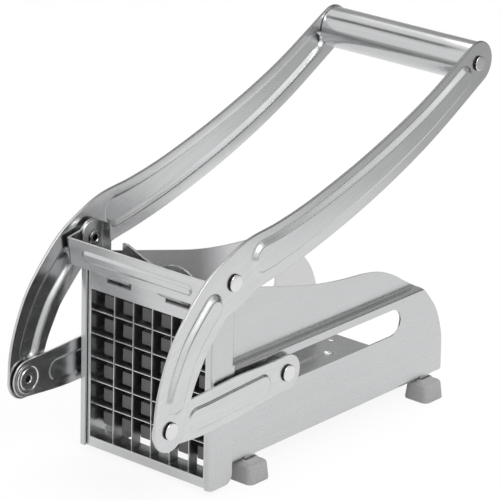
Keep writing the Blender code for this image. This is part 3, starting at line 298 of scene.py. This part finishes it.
def finishPiece(bm, name, material, node, sharpAngle=32, skin=False):
    if not skin:
        bmesh.ops.remove_doubles(bm, verts=bm.verts, dist=0.0005)
        bmesh.ops.recalc_face_normals(bm, faces=bm.faces)
    bmesh.ops.transform(bm, matrix=toPlace, verts=bm.verts)
    piece = newObject(bm, name)
    piece.data.materials.append(material)
    piece.data.shade_smooth()
    piece.data.set_sharp_from_angle(angle=math.radians(sharpAngle))
    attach(piece, bodyOf[node])
    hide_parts(node)
    return piece


def evenNormals(piece):
    # the broad flat faces keep their own normals beside the bends
    even = piece.modifiers.new("even normals", "WEIGHTED_NORMAL")
    even.keep_sharp = True
    even.weight = 80


# Outlines, as lists of flat points

lineSteps = 24  # points between two rows of a line


def arc(centre, radius, start, stop, steps):
    angles = [math.radians(start + (stop - start) * i / steps) for i in range(steps + 1)]
    return [Vector((centre[0] + radius * math.cos(a), centre[1] + radius * math.sin(a))) for a in angles]


def circle(centre, radius, steps=48):
    return arc(centre, radius, 0, 360, steps)[:-1]


def roundBox(halfAcross, halfUp, radius, steps=6):
    right, top = halfAcross - radius, halfUp - radius
    corners = ((right, top, 0), (-right, top, 90), (-right, -top, 180), (right, -top, 270))
    points = []
    for across, up, start in corners:
        points += arc((across, up), radius, start, start + 90, steps)
    return points


def smoothLine(rows):
    # an even curve through every row, each row holding a place and a half width
    rows = [Vector(row) for row in rows]
    rows = [2 * rows[0] - rows[1]] + rows + [2 * rows[-1] - rows[-2]]
    line = []
    for a, b, c, d in zip(rows, rows[1:], rows[2:], rows[3:]):
        for i in range(lineSteps):
            t = i / lineSteps
            line.append(b + (c - a) * (t / 2) + (2 * a - 5 * b + 4 * c - d) * (t * t / 2)
                        + (3 * b - a - 3 * c + d) * (t ** 3 / 2))
    return line + [rows[-2]]


def shiftLine(line, distances):
    moved = []
    for i, point in enumerate(line):
        ahead = line[min(i + 1, len(line) - 1)].xy - line[max(i - 1, 0)].xy
        moved.append(point.xy + Vector((-ahead.y, ahead.x)).normalized() * distances[i])
    return moved


def strip(line, halfWidths, steps=16):
    # a band along a line, with round ends
    left = shiftLine(line, halfWidths)
    right = shiftLine(line, [-width for width in halfWidths])
    first, last = line[0].xy - line[1].xy, line[-1].xy - line[-2].xy
    tail, nose = math.degrees(math.atan2(first.y, first.x)), math.degrees(math.atan2(last.y, last.x))
    noseEnd = arc(line[-1], halfWidths[-1], nose - 90, nose + 90, steps)[1:-1]
    tailEnd = arc(line[0], halfWidths[0], tail - 90, tail + 90, steps)[1:-1]
    return right + noseEnd + left[::-1] + tailEnd


def partOfLine(rows, start, stop, count):
    # the stretch between two shares of the length, in even steps
    lengths = [0]
    for a, b in zip(rows, rows[1:]):
        lengths.append(lengths[-1] + (b.xy - a.xy).length)
    picked = []
    for i in range(count + 1):
        length = lengths[-1] * (start + (stop - start) * i / count)
        j = max(k for k in range(len(rows) - 1) if lengths[k] <= length)
        picked.append(rows[j].lerp(rows[j + 1], (length - lengths[j]) / (lengths[j + 1] - lengths[j])))
    return picked


# Pressed sheets


def pressSheet(bm, outline, holes, ribs, plane, mirrored=False, rings=7):
    # one skin with its ribs raised ring by ring; each rib is (points, slope width, height)
    made = set(bm.faces)
    edges = []
    loops = []
    for points in [outline] + holes + [rib[0] for rib in ribs]:
        verts = [bm.verts.new((point[0], point[1], 0)) for point in points]
        edges += [bm.edges.new((verts[i - 1], verts[i])) for i in range(len(verts))]
        loops.append(verts)
    bmesh.ops.triangle_fill(bm, use_beauty=True, edges=edges, normal=(0, 0, 1))
    for (points, slope, height), verts in zip(ribs, loops[len(holes) + 1:]):
        top = bm.faces.new(verts)
        top.normal_update()
        if top.normal.z < 0:
            top.normal_flip()
        eased = [(i / rings) ** 2 * (3 - 2 * i / rings) for i in range(rings + 1)]
        for low, high in zip(eased, eased[1:]):
            bmesh.ops.inset_individual(bm, faces=[top], thickness=slope / rings, depth=height * (high - low),
                                       use_even_offset=True)
    new = [face for face in bm.faces if face not in made]
    for face in new:
        face.normal_update()
        if face.normal.z < 0:
            face.normal_flip()
    verts = list({vert for face in new for vert in face.verts})
    bmesh.ops.transform(bm, matrix=plane, verts=verts)
    if mirrored:
        bmesh.ops.reverse_faces(bm, faces=new)


def sidePlane(side, away):
    # flat points go to y and z, on the given side of the middle, facing outwards
    return Matrix(((0, 0, side, side * away), (1, 0, 0, 0), (0, 1, 0, 0), (0, 0, 0, 1)))


def sheetPiece(bm, node, material, thickness, edge, inside=None):
    piece = finishPiece(bm, node + "_pressed", material, node, skin=True)
    wall = piece.modifiers.new("sheet", "SOLIDIFY")
    wall.thickness = thickness * mm
    wall.offset = -1
    wall.use_even_offset = True
    # rims and broken edges take the cut-edge steel, with painted shade higher up
    wall.material_offset_rim = 1
    piece.data.materials.append(cutEdgeWithShade)
    # the inner faces may take a steel with painted shade
    if inside:
        wall.material_offset = 2
        piece.data.materials.append(inside)
    bevel = piece.modifiers.new("soft edges", "BEVEL")
    bevel.width = edge * mm
    bevel.segments = 2
    bevel.limit_method = "ANGLE"
    bevel.angle_limit = math.radians(50)
    bevel.material = 1
    evenNormals(piece)


# Arms and links

arm = {
    "outer": 54.2,  # its outer face, from the middle
    "sheet": 1.6,
    "edge": 0.4,  # how far its edges are broken
    "pivot": (4.5, 68.5),
    "grip": (216.9, 145.0),
    "crank": (-45.6, -1.8),
    "halfBreadth": 16.4,
    "edgeStrip": 5.5,  # the flat strip beside the long rib
    "ribHeight": 2.4,
    "longRibShift": 0.8,
    "longRibSlope": 3.4,
    "lowRibHalf": 8.5,
    "lowRibShift": 0.7,
    "lowRibSlope": 4.4,
    # from the pivot: shares of the way back, of the way up, and of the half breadth
    "upperShares": ((0.072, 0.083, 0.966), (0.179, 0.131, 0.918), (0.308, 0.210, 0.890),
                    (0.461, 0.333, 0.875), (0.582, 0.448, 0.860), (0.706, 0.583, 0.838),
                    (0.827, 0.739, 0.811), (1, 1, 0.787)),
    "lowerShares": ((0.246, 0.074, 0.933), (0.446, 0.199, 0.930), (0.655, 0.360, 0.915),
                    (0.764, 0.481, 0.912), (0.882, 0.654, 0.869), (0.958, 0.824, 0.823), (1, 1, 0.744)),
    "longRibShares": (0.110, 0.935),
    "lowRibShares": (0.225, 0.822),
    "ribPoints": (48, 24),  # along the long rib and the low one
    "edgeStep": 3,  # only every third point goes into the outline, as the inside of the bend is tight
    "hole": 3.3,
}
link = {
    "outer": 51.6,
    "sheet": 1.2,
    "edge": 0.35,
    "pin": (55.2, 0.8),
    "radius": 10.7,
    "ribHeight": 0.7,
    "ribSlope": 2.2,
    "ribHalf": 7.5,
    "ribShift": -1.1,
    # shares of the way from the crank to the pin, of its length upwards, and of the radius
    "shares": ((0.300, -0.011, 1.16), (0.580, -0.005, 1.17), (0.870, 0.000, 1.00)),
    "ribShares": (0.240, 0.785),
    "ribPoints": 24,
}


def limbRows(start, stop, shares, halfBreadth):
    rows = [(*start, halfBreadth)]
    for along, up, width in shares:
        rows.append((start[0] + along * (stop[0] - start[0]), start[1] + up * (stop[1] - start[1]),
                     width * halfBreadth))
    return rows


def makeArm(side, hand):
    upper = limbRows(arm["pivot"], arm["grip"], arm["upperShares"], arm["halfBreadth"])
    lower = limbRows(arm["pivot"], arm["crank"], arm["lowerShares"], arm["halfBreadth"])
    whole = smoothLine(lower[::-1] + upper[1:])
    split = lineSteps * (len(lower) - 1)
    edge = whole[::arm["edgeStep"]]
    outline = strip(edge, [row.z for row in edge])
    holes = [circle(arm[place], arm["hole"]) for place in ("pivot", "grip", "crank")]
    longPoints, lowPoints = arm["ribPoints"]
    longRib = partOfLine(whole[split:], *arm["longRibShares"], longPoints)
    lowRib = partOfLine(whole[:split + 1][::-1], *arm["lowRibShares"], lowPoints)
    longLine = shiftLine(longRib, [arm["longRibShift"]] * len(longRib))
    lowLine = shiftLine(lowRib, [arm["lowRibShift"]] * len(lowRib))
    longBand = strip(longLine, [row.z - arm["edgeStrip"] for row in longRib])
    lowBand = strip(lowLine, [arm["lowRibHalf"]] * len(lowLine))
    ribs = [(longBand, arm["longRibSlope"], arm["ribHeight"]),
            (lowBand, arm["lowRibSlope"], arm["ribHeight"])]
    bm = bmesh.new()
    pressSheet(bm, outline, holes, ribs, sidePlane(side, arm["outer"]), side < 0)
    # the left arm takes the satin copy with painted shade
    sheetPiece(bm, f"{hand}_arm", satinArm if side > 0 else shadedLeftArm, arm["sheet"], arm["edge"])


def makeLink(side, hand):
    start, stop = arm["crank"], link["pin"]
    run = math.hypot(stop[0] - start[0], stop[1] - start[1])
    rows = [(*start, link["radius"])]
    for along, arch, width in link["shares"]:
        rows.append((start[0] + along * (stop[0] - start[0]),
                     start[1] + along * (stop[1] - start[1]) + arch * run, width * link["radius"]))
    rows.append((*stop, link["radius"]))
    line = smoothLine(rows)
    outline = strip(line, [row.z for row in line])
    rib = partOfLine(line, *link["ribShares"], link["ribPoints"])
    ribLine = shiftLine(rib, [link["ribShift"]] * len(rib))
    ribs = [(strip(ribLine, [link["ribHalf"]] * len(ribLine)), link["ribSlope"], link["ribHeight"])]
    holes = [circle(start, arm["hole"]), circle(stop, arm["hole"])]
    bm = bmesh.new()
    pressSheet(bm, outline, holes, ribs, sidePlane(side, link["outer"]), side < 0)
    sheetPiece(bm, f"{hand}_link", satinLong, link["sheet"], link["edge"])


# Blade lock

lock = {
    "top": (-14.8, 72.8),
    "low": (-12.0, 56.5),
    "half": 50.4,
    "sheet": 1.2,
    "edge": 0.4,
    "earRadius": 10.5,
    "earTurn": (-90, 115),  # where the ear's arc starts and ends, in degrees
    "earSlope": (-4.0, 74.6),
    "ribHalf": (40.5, 3.7),
    "ribSlope": 2.2,
    "ribHeight": 1.4,
    "ribPoints": 20,  # on each side of its middle
    "tabHalf": 8.25,
    "tabPlaces": (21.5, -21.5),
    "tabKnee": (-8.9, 53.6),
    "tabEnd": (-3.3, 50.8),
}


def makeLock():
    topY, topZ = lock["top"]
    lowY, lowZ = lock["low"]
    length = math.hypot(topZ - lowZ, lowY - topY)
    lean = Matrix.Rotation(math.atan2(lowY - topY, topZ - lowZ), 4, "X")
    facing = Matrix(((1, 0, 0, 0), (0, 0, -1, 0), (0, 1, 0, 0), (0, 0, 0, 1)))
    middle = Matrix.Translation((0, (topY + lowY) / 2, (topZ + lowZ) / 2))
    half = lock["half"]
    bar = [(-half, -length / 2), (half, -length / 2), (half, length / 2), (-half, length / 2)]
    reach, radius = lock["ribHalf"]
    count = lock["ribPoints"]
    ribLine = [Vector((x / count * (reach - radius), 0)) for x in range(-count, count + 1)]
    rib = strip(ribLine, [radius] * len(ribLine))
    bm = bmesh.new()
    pressSheet(bm, bar, [], [(rib, lock["ribSlope"], lock["ribHeight"])], middle @ lean @ facing)
    pivot = arm["pivot"]
    ear = [Vector((topY, topZ)), Vector((lowY, lowZ))]
    ear += arc(pivot, lock["earRadius"], *lock["earTurn"], 24) + [Vector(lock["earSlope"])]
    for side in (1, -1):
        pressSheet(bm, ear, [circle(pivot, arm["hole"])], [], sidePlane(side, half), side < 0)
    # each tab is the folded foot of the bar, run out along its profile
    profile = [lock["low"], lock["tabKnee"], lock["tabEnd"]]
    for place in lock["tabPlaces"]:
        ends = (place - lock["tabHalf"], place + lock["tabHalf"])
        rows = [[bm.verts.new((end, y, z)) for y, z in profile] for end in ends]
        for i in range(len(profile) - 1):
            bm.faces.new((rows[0][i], rows[0][i + 1], rows[1][i + 1], rows[1][i]))
    # the lock's inner faces take the steel with painted shade in its corner
    sheetPiece(bm, "blade_lock", satinAcross, lock["sheet"], lock["edge"], cornerShadeSteel)


# Turned pieces

turned = {
    "shank": 3.0,
    "head": (4.9, 1.4),  # radius and height
    "gripHead": (4.3, 1.4),
    "headSide": 0.95,  # height of the head's dark side
    "seat": {"arm": 54.5, "link": 51.9},
    "shankEnd": {"pivot": 47.3, "arm": 52.3, "pin": 43.8, "grip": 49.3},
    "flare": (4.4, 0.8),  # the rolled end of a hollow rivet: radius and depth
    "armFlareDepth": 0.4,  # the arm's rivet has little room behind it
    "bore": (2.1, 2.5),
    "washer": (50.7, 52.3, 6.2),  # inner face, outer face, radius
    "bush": (45.9, 50.1, 7.0),
    "eyelet": (51.6, 50.1, 49.3, 8.5),  # outer end, seat, inner face, radius
    "eyeletNeck": 3.0,
    # the eyelet's pressed rings, out from its radius and up from its inner face
    "eyeletRings": ((-0.1, 0.15), (-0.5, 0), (-1.0, 0.1), (-1.4, 0.45), (-2.2, 0.45), (-2.6, 0.1)),
    "tube": (52.3, 12.0, 1.2, 0.5),  # half length, radius, wall, corner
    "tubeRing": 30,  # one more ring of points, this far to each side
    "plug": (52.3, 6.0, 10.5, 0.8),  # outer end, length, radius, corner
    "screw": {"across": 28.0, "up": 7.0, "seat": 23.2, "tip": 16.8, "radius": 1.5, "head": (3.5, 2.0)},
}


def turnProfile(node, profile, centre, axis, material, steps=72, dark=()):
    # the profile holds (radius, distance along the axis); dark lists the stretches that lie in shadow
    bm = bmesh.new()
    rim = [bm.verts.new((0, radius, along)) for radius, along in profile]
    edges = [bm.edges.new(pair) for pair in zip(rim, rim[1:])]
    bmesh.ops.spin(bm, geom=rim + edges, cent=(0, 0, 0), axis=(0, 0, 1), angle=math.tau, steps=steps,
                   use_merge=True)
    for face in bm.faces:
        middle = face.calc_center_median()
        for low, high, inner, outer in dark:
            if low < middle.z < high and inner < middle.xy.length < outer:
                face.material_index = 1
    turn = Vector((0, 0, 1)).rotation_difference(Vector(axis)).to_matrix().to_4x4()
    bmesh.ops.transform(bm, matrix=Matrix.Translation(centre) @ turn, verts=bm.verts)
    piece = finishPiece(bm, node + "_turned", material, node)
    if dark:
        piece.data.materials.append(shadowedSteel)


def rounded(radius, face, corner, steps=5):
    # the rounded outer corner below a face, from the face outwards
    points = []
    for i in range(steps + 1):
        angle = math.radians(90 * i / steps)
        points.append((radius - corner + corner * math.sin(angle), face - corner * (1 - math.cos(angle))))
    return points


def panHead(radius, height, seat):
    # nearly flat on top, with a soft shoulder
    crown = [(0, seat + height), (radius * 0.45, seat + height * 0.97)]
    shoulder = rounded(radius, seat + height * 0.93, height * 0.42)
    return crown + shoulder + [(radius, seat + 0.1), (radius - 0.2, seat)]


def rivetProfile(seat, end, head, hollow=True):
    shank = turned["shank"]
    profile = panHead(*head, seat) + [(shank, seat), (shank, end)]
    if not hollow:
        return profile + [(0, end)]
    flare, depth = turned["flare"]
    bore, boreDepth = turned["bore"]
    if end == turned["shankEnd"]["arm"]:
        depth = turned["armFlareDepth"]
    lip = [(flare - 0.2, end), (flare, end - depth * 0.35), (flare - 0.3, end - depth * 0.85)]
    lip += [(flare - 1.0, end - depth), (bore + 0.4, end - depth * 0.9), (bore, end - depth * 0.4)]
    floor = min(end - depth + boreDepth, seat)
    return profile + lip + [(bore, floor), (0, floor)]


def ringProfile(inner, outer, radius, hole, corner=0.3):
    loop = [(hole, outer), (radius - corner, outer), (radius, outer - corner), (radius, inner + corner)]
    return loop + [(radius - corner, inner), (hole, inner), (hole, outer)]


def makeTurned():
    pivot, grip, crank = (Vector((0, *arm[key])) for key in ("pivot", "grip", "crank"))
    pin = Vector((0, *link["pin"]))
    seat, ends = turned["seat"], turned["shankEnd"]
    bore, hole = turned["bore"][0], arm["hole"]
    for side, hand in ((1, "right"), (-1, "left")):
        out = (side, 0, 0)
        # the left side's rivets take the darker copy: painted shade
        steel = brightSteel if side > 0 else shadedRivetSteel
        rivets = (("pivot_rivet", "arm", "pivot", pivot), ("arm_rivet", "arm", "arm", crank),
                  ("link_pin", "link", "pin", pin), ("grip_rivet", "arm", "grip", grip))
        for node, sheet, end, centre in rivets:
            level = seat[sheet]
            head = turned["gripHead"] if end == "grip" else turned["head"]
            dark = [(level - 0.1, level + turned["headSide"], head[0] - 0.3, head[0] + 0.1),
                    (0, level, 0, bore + 0.05)]
            profile = rivetProfile(level, ends[end], head, end != "grip")
            turnProfile(f"{hand}_{node}", profile, centre, out, steel, dark=dark)
        turnProfile(f"{hand}_pivot_washer", ringProfile(*turned["washer"], hole), pivot, out, brightSteel)
        turnProfile(f"{hand}_slot_bush", ringProfile(*turned["bush"], hole), pin, out, brightSteel)
        outer, base, face, radius = turned["eyelet"]
        neck = turned["eyeletNeck"]
        eyelet = [(0, outer), (neck, outer), (neck, base), (radius - 0.3, base), (radius, base - 0.3)]
        eyelet += [(radius + across, face + up) for across, up in turned["eyeletRings"]]
        eyelet += [(bore + 0.9, face), (bore + 0.3, face + 0.1), (bore, face + 0.5), (bore, base), (0, base)]
        dark = [(face, base + 0.1, 0, bore + 0.1)]
        turnProfile(f"{hand}_link_eyelet", eyelet, crank, out, brightSteel, dark=dark)
        end, length, radius, corner = turned["plug"]
        plug = [(0, end)] + rounded(radius, end, corner) + [(radius, end - length), (0, end - length)]
        turnProfile(f"{hand}_grip_plug", plug, grip, out, greyRubber)
    end, radius, wall, corner = turned["tube"]
    half = rounded(radius, end, corner) + [(radius, turned["tubeRing"])]
    outside = half + [(across, -along) for across, along in half[::-1]]
    inside = [(radius - wall, -end), (radius - wall, end)]
    turnProfile("grip_tube", [(radius - wall, end)] + outside + inside, grip, (1, 0, 0), tubeSteel, 96)
    screw = turned["screw"]
    length = screw["tip"] - screw["seat"]
    profile = panHead(*screw["head"], 0) + [(screw["radius"], 0), (screw["radius"], length), (0, length)]
    number = 0
    for across in (-screw["across"], screw["across"]):
        for up in (-screw["up"], screw["up"]):
            number += 1
            head = (across, screw["seat"], up)
            turnProfile(f"pusher_screw_{number}", profile, head, (0, 1, 0), brightSteel, 48)
    print("rivets, tube and screws turned")


# Blades

blade = {
    "edgeDepth": 0.9,  # how far back the sharp edge runs
    "edgeShare": 0.5,  # what is left of the thickness at the front
}


def makeBlades():
    for name in nodes:
        if "_blade_" not in name:
            continue
        across = 0 if name.startswith("vertical") else 2
        bm = copyOf(name)
        bmesh.ops.bisect_plane(bm, geom=bm.verts[:] + bm.edges[:] + bm.faces[:], dist=0.001,
                               plane_co=(0, blade["edgeDepth"], 0), plane_no=(0, 1, 0))
        middle = sum(vert.co[across] for vert in bm.verts) / len(bm.verts)
        for vert in bm.verts:
            if vert.co.y < 0.05:
                vert.co[across] = middle + (vert.co[across] - middle) * blade["edgeShare"]
        piece = finishPiece(bm, name + "_ground", litBladeFront, name, sharpAngle=12)
        piece.data.materials.append(shadedBladeSide)
        # front faces take the painted highlight, the sides the painted shade
        for face in piece.data.polygons:
            face.material_index = 0 if face.normal.y < -0.1 else 1
    print("blades ground")


# Feet

foot = {
    "half": 8.75,
    "topHalf": 7.75,
    "taper": 0.2,  # the share of the taper left where the shoulder starts to curve
    "height": 12.5,
    "shoulder": 11.0,
    "shoulderRadius": 1.6,
    "corner": 3.6,
    "sole": ((0.5, 0), (0.1, 0.2), (0, 0.7)),  # how far in, and at what height
    "slit": (1.1, 4.4),
    "slitDepth": 2.5,
    "saddle": (2.9, 6.2),  # half sizes of the raised middle
}


def makeFoot(name):
    low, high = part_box(name)
    centre = toPlace.inverted() @ Vector(((low[0] + high[0]) / 2, (low[1] + high[1]) / 2, low[2]))
    half, top = foot["half"], foot["topHalf"]
    height, shoulder = foot["height"], foot["shoulder"]
    tip = top - (top - half) * foot["taper"]
    rings = [(half - inwards, half - inwards, level) for inwards, level in foot["sole"]]
    rings += [(out, out, level) for out, level in rounded(tip, shoulder, foot["shoulderRadius"])[::-1]]
    saddleX, saddleY = foot["saddle"]
    rings += [(saddleX + 1.2, saddleY - 0.3, shoulder + 0.25), (saddleX + 0.4, saddleY - 0.6, height - 0.5)]
    rings += [(saddleX, saddleY - 0.8, height - 0.1), (saddleX - 0.5, saddleY - 1.1, height)]
    slitX, slitY = foot["slit"]
    rings += [(slitX + 0.2, slitY + 0.2, height - 0.05), (slitX, slitY, height - 0.4)]
    rings += [(slitX, slitY, height - foot["slitDepth"])]
    bm = bmesh.new()
    loops = []
    for across, along, level in rings:
        corner = min(foot["corner"], across - 0.05, along - 0.05)
        loops.append([bm.verts.new((p.x, p.y, level)) for p in roundBox(across, along, corner)])
    for low, high in zip(loops, loops[1:]):
        for i in range(len(low)):
            bm.faces.new((low[i - 1], low[i], high[i], high[i - 1]))
    bm.faces.new(loops[0])
    bm.faces.new(loops[-1])
    bmesh.ops.translate(bm, vec=centre, verts=bm.verts)
    finishPiece(bm, name + "_moulded", greyRubber, name, sharpAngle=50)


# Pieces that keep the solid's shape, with their edges broken

# how far the edges are broken, and in how many faces
softEdges = {
    "body_trough": (0.2, 2),
    "front_frame": (0.2, 2),
    "blade_frame": (0.15, 2),
    "pusher_plate": (0.2, 2),
    "pusher_carriage": (0.2, 2),
    "pusher_block": (0.5, 3),
}
sharpCorner = math.radians(40)


def softenPiece(node, material):
    width, segments = softEdges[node]
    bm = copyOf(node)
    sharp = [edge for edge in bm.edges if edge.is_manifold and edge.calc_face_angle() > sharpCorner]
    bmesh.ops.bevel(bm, geom=sharp, offset=width, segments=segments, affect="EDGES", profile=0.5,
                    clamp_overlap=True, material=-1)
    piece = finishPiece(bm, node + "_soft", material, node)
    evenNormals(piece)
    return piece


def shadeInnerWalls(piece):
    # the walls' inner faces take a steel with painted shade, darker towards the front
    piece.data.materials.append(shadedWallLong)
    for face in piece.data.polygons:
        if face.center.x * face.normal.x < 0 and abs(face.normal.x) > 0.9:
            face.material_index = 1


# Putting it together

makeCamera()
shadeInnerWalls(softenPiece("body_trough", bodyLong))
softenPiece("front_frame", bodyUpright)
softenPiece("blade_frame", satinAcross)
softenPiece("pusher_plate", satinAcross)
softenPiece("pusher_carriage", satinLong)
softenPiece("pusher_block", blackPlastic)
print("folded pieces and block softened")
for side, hand in ((1, "right"), (-1, "left")):
    makeArm(side, hand)
    makeLink(side, hand)
makeLock()
print("arms, links and lock pressed")
makeTurned()
makeBlades()
for name in nodes:
    if name.endswith("_foot"):
        makeFoot(name)
print("feet moulded")


# Studio

studio = {
    "floorTone": 0.9,
    "floorRoughness": 0.9,
    "floorSize": 6.0,
    "floorGap": 0.0002,  # between the floor and the soles
    "worldGlow": 0.75,
    "seenShare": 0.9,  # how much of the floor is plain white to the camera, the rest taking shadow
    "steelShare": 0.5,  # the same in the steel
    "fade": (0.38, 0.58),  # in the steel the floor fades out between these distances
}


def makeFloor():
    bm = bmesh.new()
    bmesh.ops.create_grid(bm, x_segments=1, y_segments=1, size=studio["floorSize"] / 2)
    floor = newObject(bm, "floor")
    floor.location.z = groundLevel - studio["floorGap"]
    material, tree, shader = newMaterial("pale_floor")
    join = tree.links.new
    tone = studio["floorTone"]
    shader.inputs["Base Color"].default_value = (tone, tone, tone, 1)
    shader.inputs["Roughness"].default_value = studio["floorRoughness"]
    shader.inputs["Specular IOR Level"].default_value = 0.0
    rays = addNode(tree, "ShaderNodeLightPath").outputs
    seen = mathNode(tree, "MAXIMUM", rays["Is Camera Ray"], rays["Is Transmission Ray"])
    seenShare = mathNode(tree, "MULTIPLY", seen, studio["seenShare"])
    share = mathNode(tree, "MULTIPLY_ADD", rays["Is Glossy Ray"], studio["steelShare"], seenShare)
    place = addNode(tree, "ShaderNodeTexCoord")
    away = tree.nodes.new("ShaderNodeVectorMath")
    away.operation = "LENGTH"
    join(place.outputs["Object"], away.inputs[0])
    near, far = studio["fade"]
    fade = addNode(tree, "ShaderNodeMapRange", From_Min=near, From_Max=far)
    fade.interpolation_type = "SMOOTHSTEP"
    join(away.outputs["Value"], fade.inputs["Value"])
    lost = mathNode(tree, "MULTIPLY", fade.outputs["Result"], rays["Is Glossy Ray"])
    glow = addNode(tree, "ShaderNodeEmission", Color=(1, 1, 1, 1))
    join(mathNode(tree, "SUBTRACT", 1.0, lost), glow.inputs["Strength"])
    mix = tree.nodes.new("ShaderNodeMixShader")
    join(share, mix.inputs["Fac"])
    join(shader.outputs["BSDF"], mix.inputs[1])
    join(glow.outputs["Emission"], mix.inputs[2])
    join(mix.outputs["Shader"], tree.nodes["Material Output"].inputs["Surface"])
    floor.data.materials.append(material)


def makeWorld():
    world = bpy.data.worlds.new("studio")
    world.use_nodes = True
    bpy.context.scene.world = world
    tree = world.node_tree
    background = tree.nodes["Background"]
    background.inputs["Color"].default_value = (1, 1, 1, 1)
    rays = addNode(tree, "ShaderNodeLightPath").outputs
    seen = mathNode(tree, "MAXIMUM", rays["Is Camera Ray"], rays["Is Glossy Ray"])
    seen = mathNode(tree, "MAXIMUM", seen, rays["Is Transmission Ray"])
    level = mapNode(tree, seen, (0, 1), (studio["worldGlow"], 1))
    tree.links.new(level, background.inputs["Strength"])


# place, size of the square, and power in watts
lamps = {
    "key": ((1.2, -0.4, 1.4), 0.8, 14),
    "top": ((-0.3, 0.5, 1.8), 1.0, 9),
}
lampAim = Vector((0, 0, 0.1))


def makeLamps():
    for name, (place, size, power) in lamps.items():
        data = bpy.data.lights.new(name, "AREA")
        data.shape = "SQUARE"
        data.size = size
        data.energy = power
        lamp = bpy.data.objects.new(name, data)
        bpy.context.scene.collection.objects.link(lamp)
        lamp.location = place
        lamp.rotation_euler = (lampAim - Vector(place)).to_track_quat("-Z", "Y").to_euler()


# far cards that show only in the steel: middle, size across and up, and how light they are
cards = {
    "dark_card": ((-1.85, -0.75, 2.25), (1.3, 0.62), 0.02),
    "grey_card": ((-0.2, 2.2, 1.5), (5.2, 2.3), 0.42),
}
# the dark strip above the horizon; its turn is in degrees
band = {"radius": 2.9, "turn": (5, 100), "steps": 24, "height": (0.0, 0.66), "glow": 0.05}


def hangCard(bm, name, tone):
    card = newObject(bm, name)
    material, tree, shader = newMaterial(name)
    glow = addNode(tree, "ShaderNodeEmission", Color=(1, 1, 1, 1), Strength=tone)
    tree.links.new(glow.outputs["Emission"], tree.nodes["Material Output"].inputs["Surface"])
    card.data.materials.append(material)
    card.visible_camera = False
    card.visible_diffuse = False
    card.visible_transmission = False
    card.visible_volume_scatter = False
    card.visible_shadow = False


def makeCards():
    for name, (middle, size, tone) in cards.items():
        bm = bmesh.new()
        bmesh.ops.create_grid(bm, x_segments=1, y_segments=1, size=0.5)
        bmesh.ops.scale(bm, vec=(*size, 1), verts=bm.verts)
        lean = Matrix.Rotation(math.atan2(middle[1], -middle[2]), 4, "X")
        bmesh.ops.transform(bm, matrix=Matrix.Translation(middle) @ lean, verts=bm.verts)
        hangCard(bm, name, tone)
    bm = bmesh.new()
    rows = []
    points = arc((0, 0), band["radius"], *band["turn"], band["steps"])
    for height in band["height"]:
        rows.append([bm.verts.new((point.x, point.y, groundLevel + height)) for point in points])
    for i in range(band["steps"]):
        bm.faces.new((rows[0][i], rows[0][i + 1], rows[1][i + 1], rows[1][i]))
    hangCard(bm, "low_card", band["glow"])


makeFloor()
makeWorld()
makeCards()
makeLamps()
print("studio lit")

bpy.context.scene.view_settings.view_transform = "Standard"
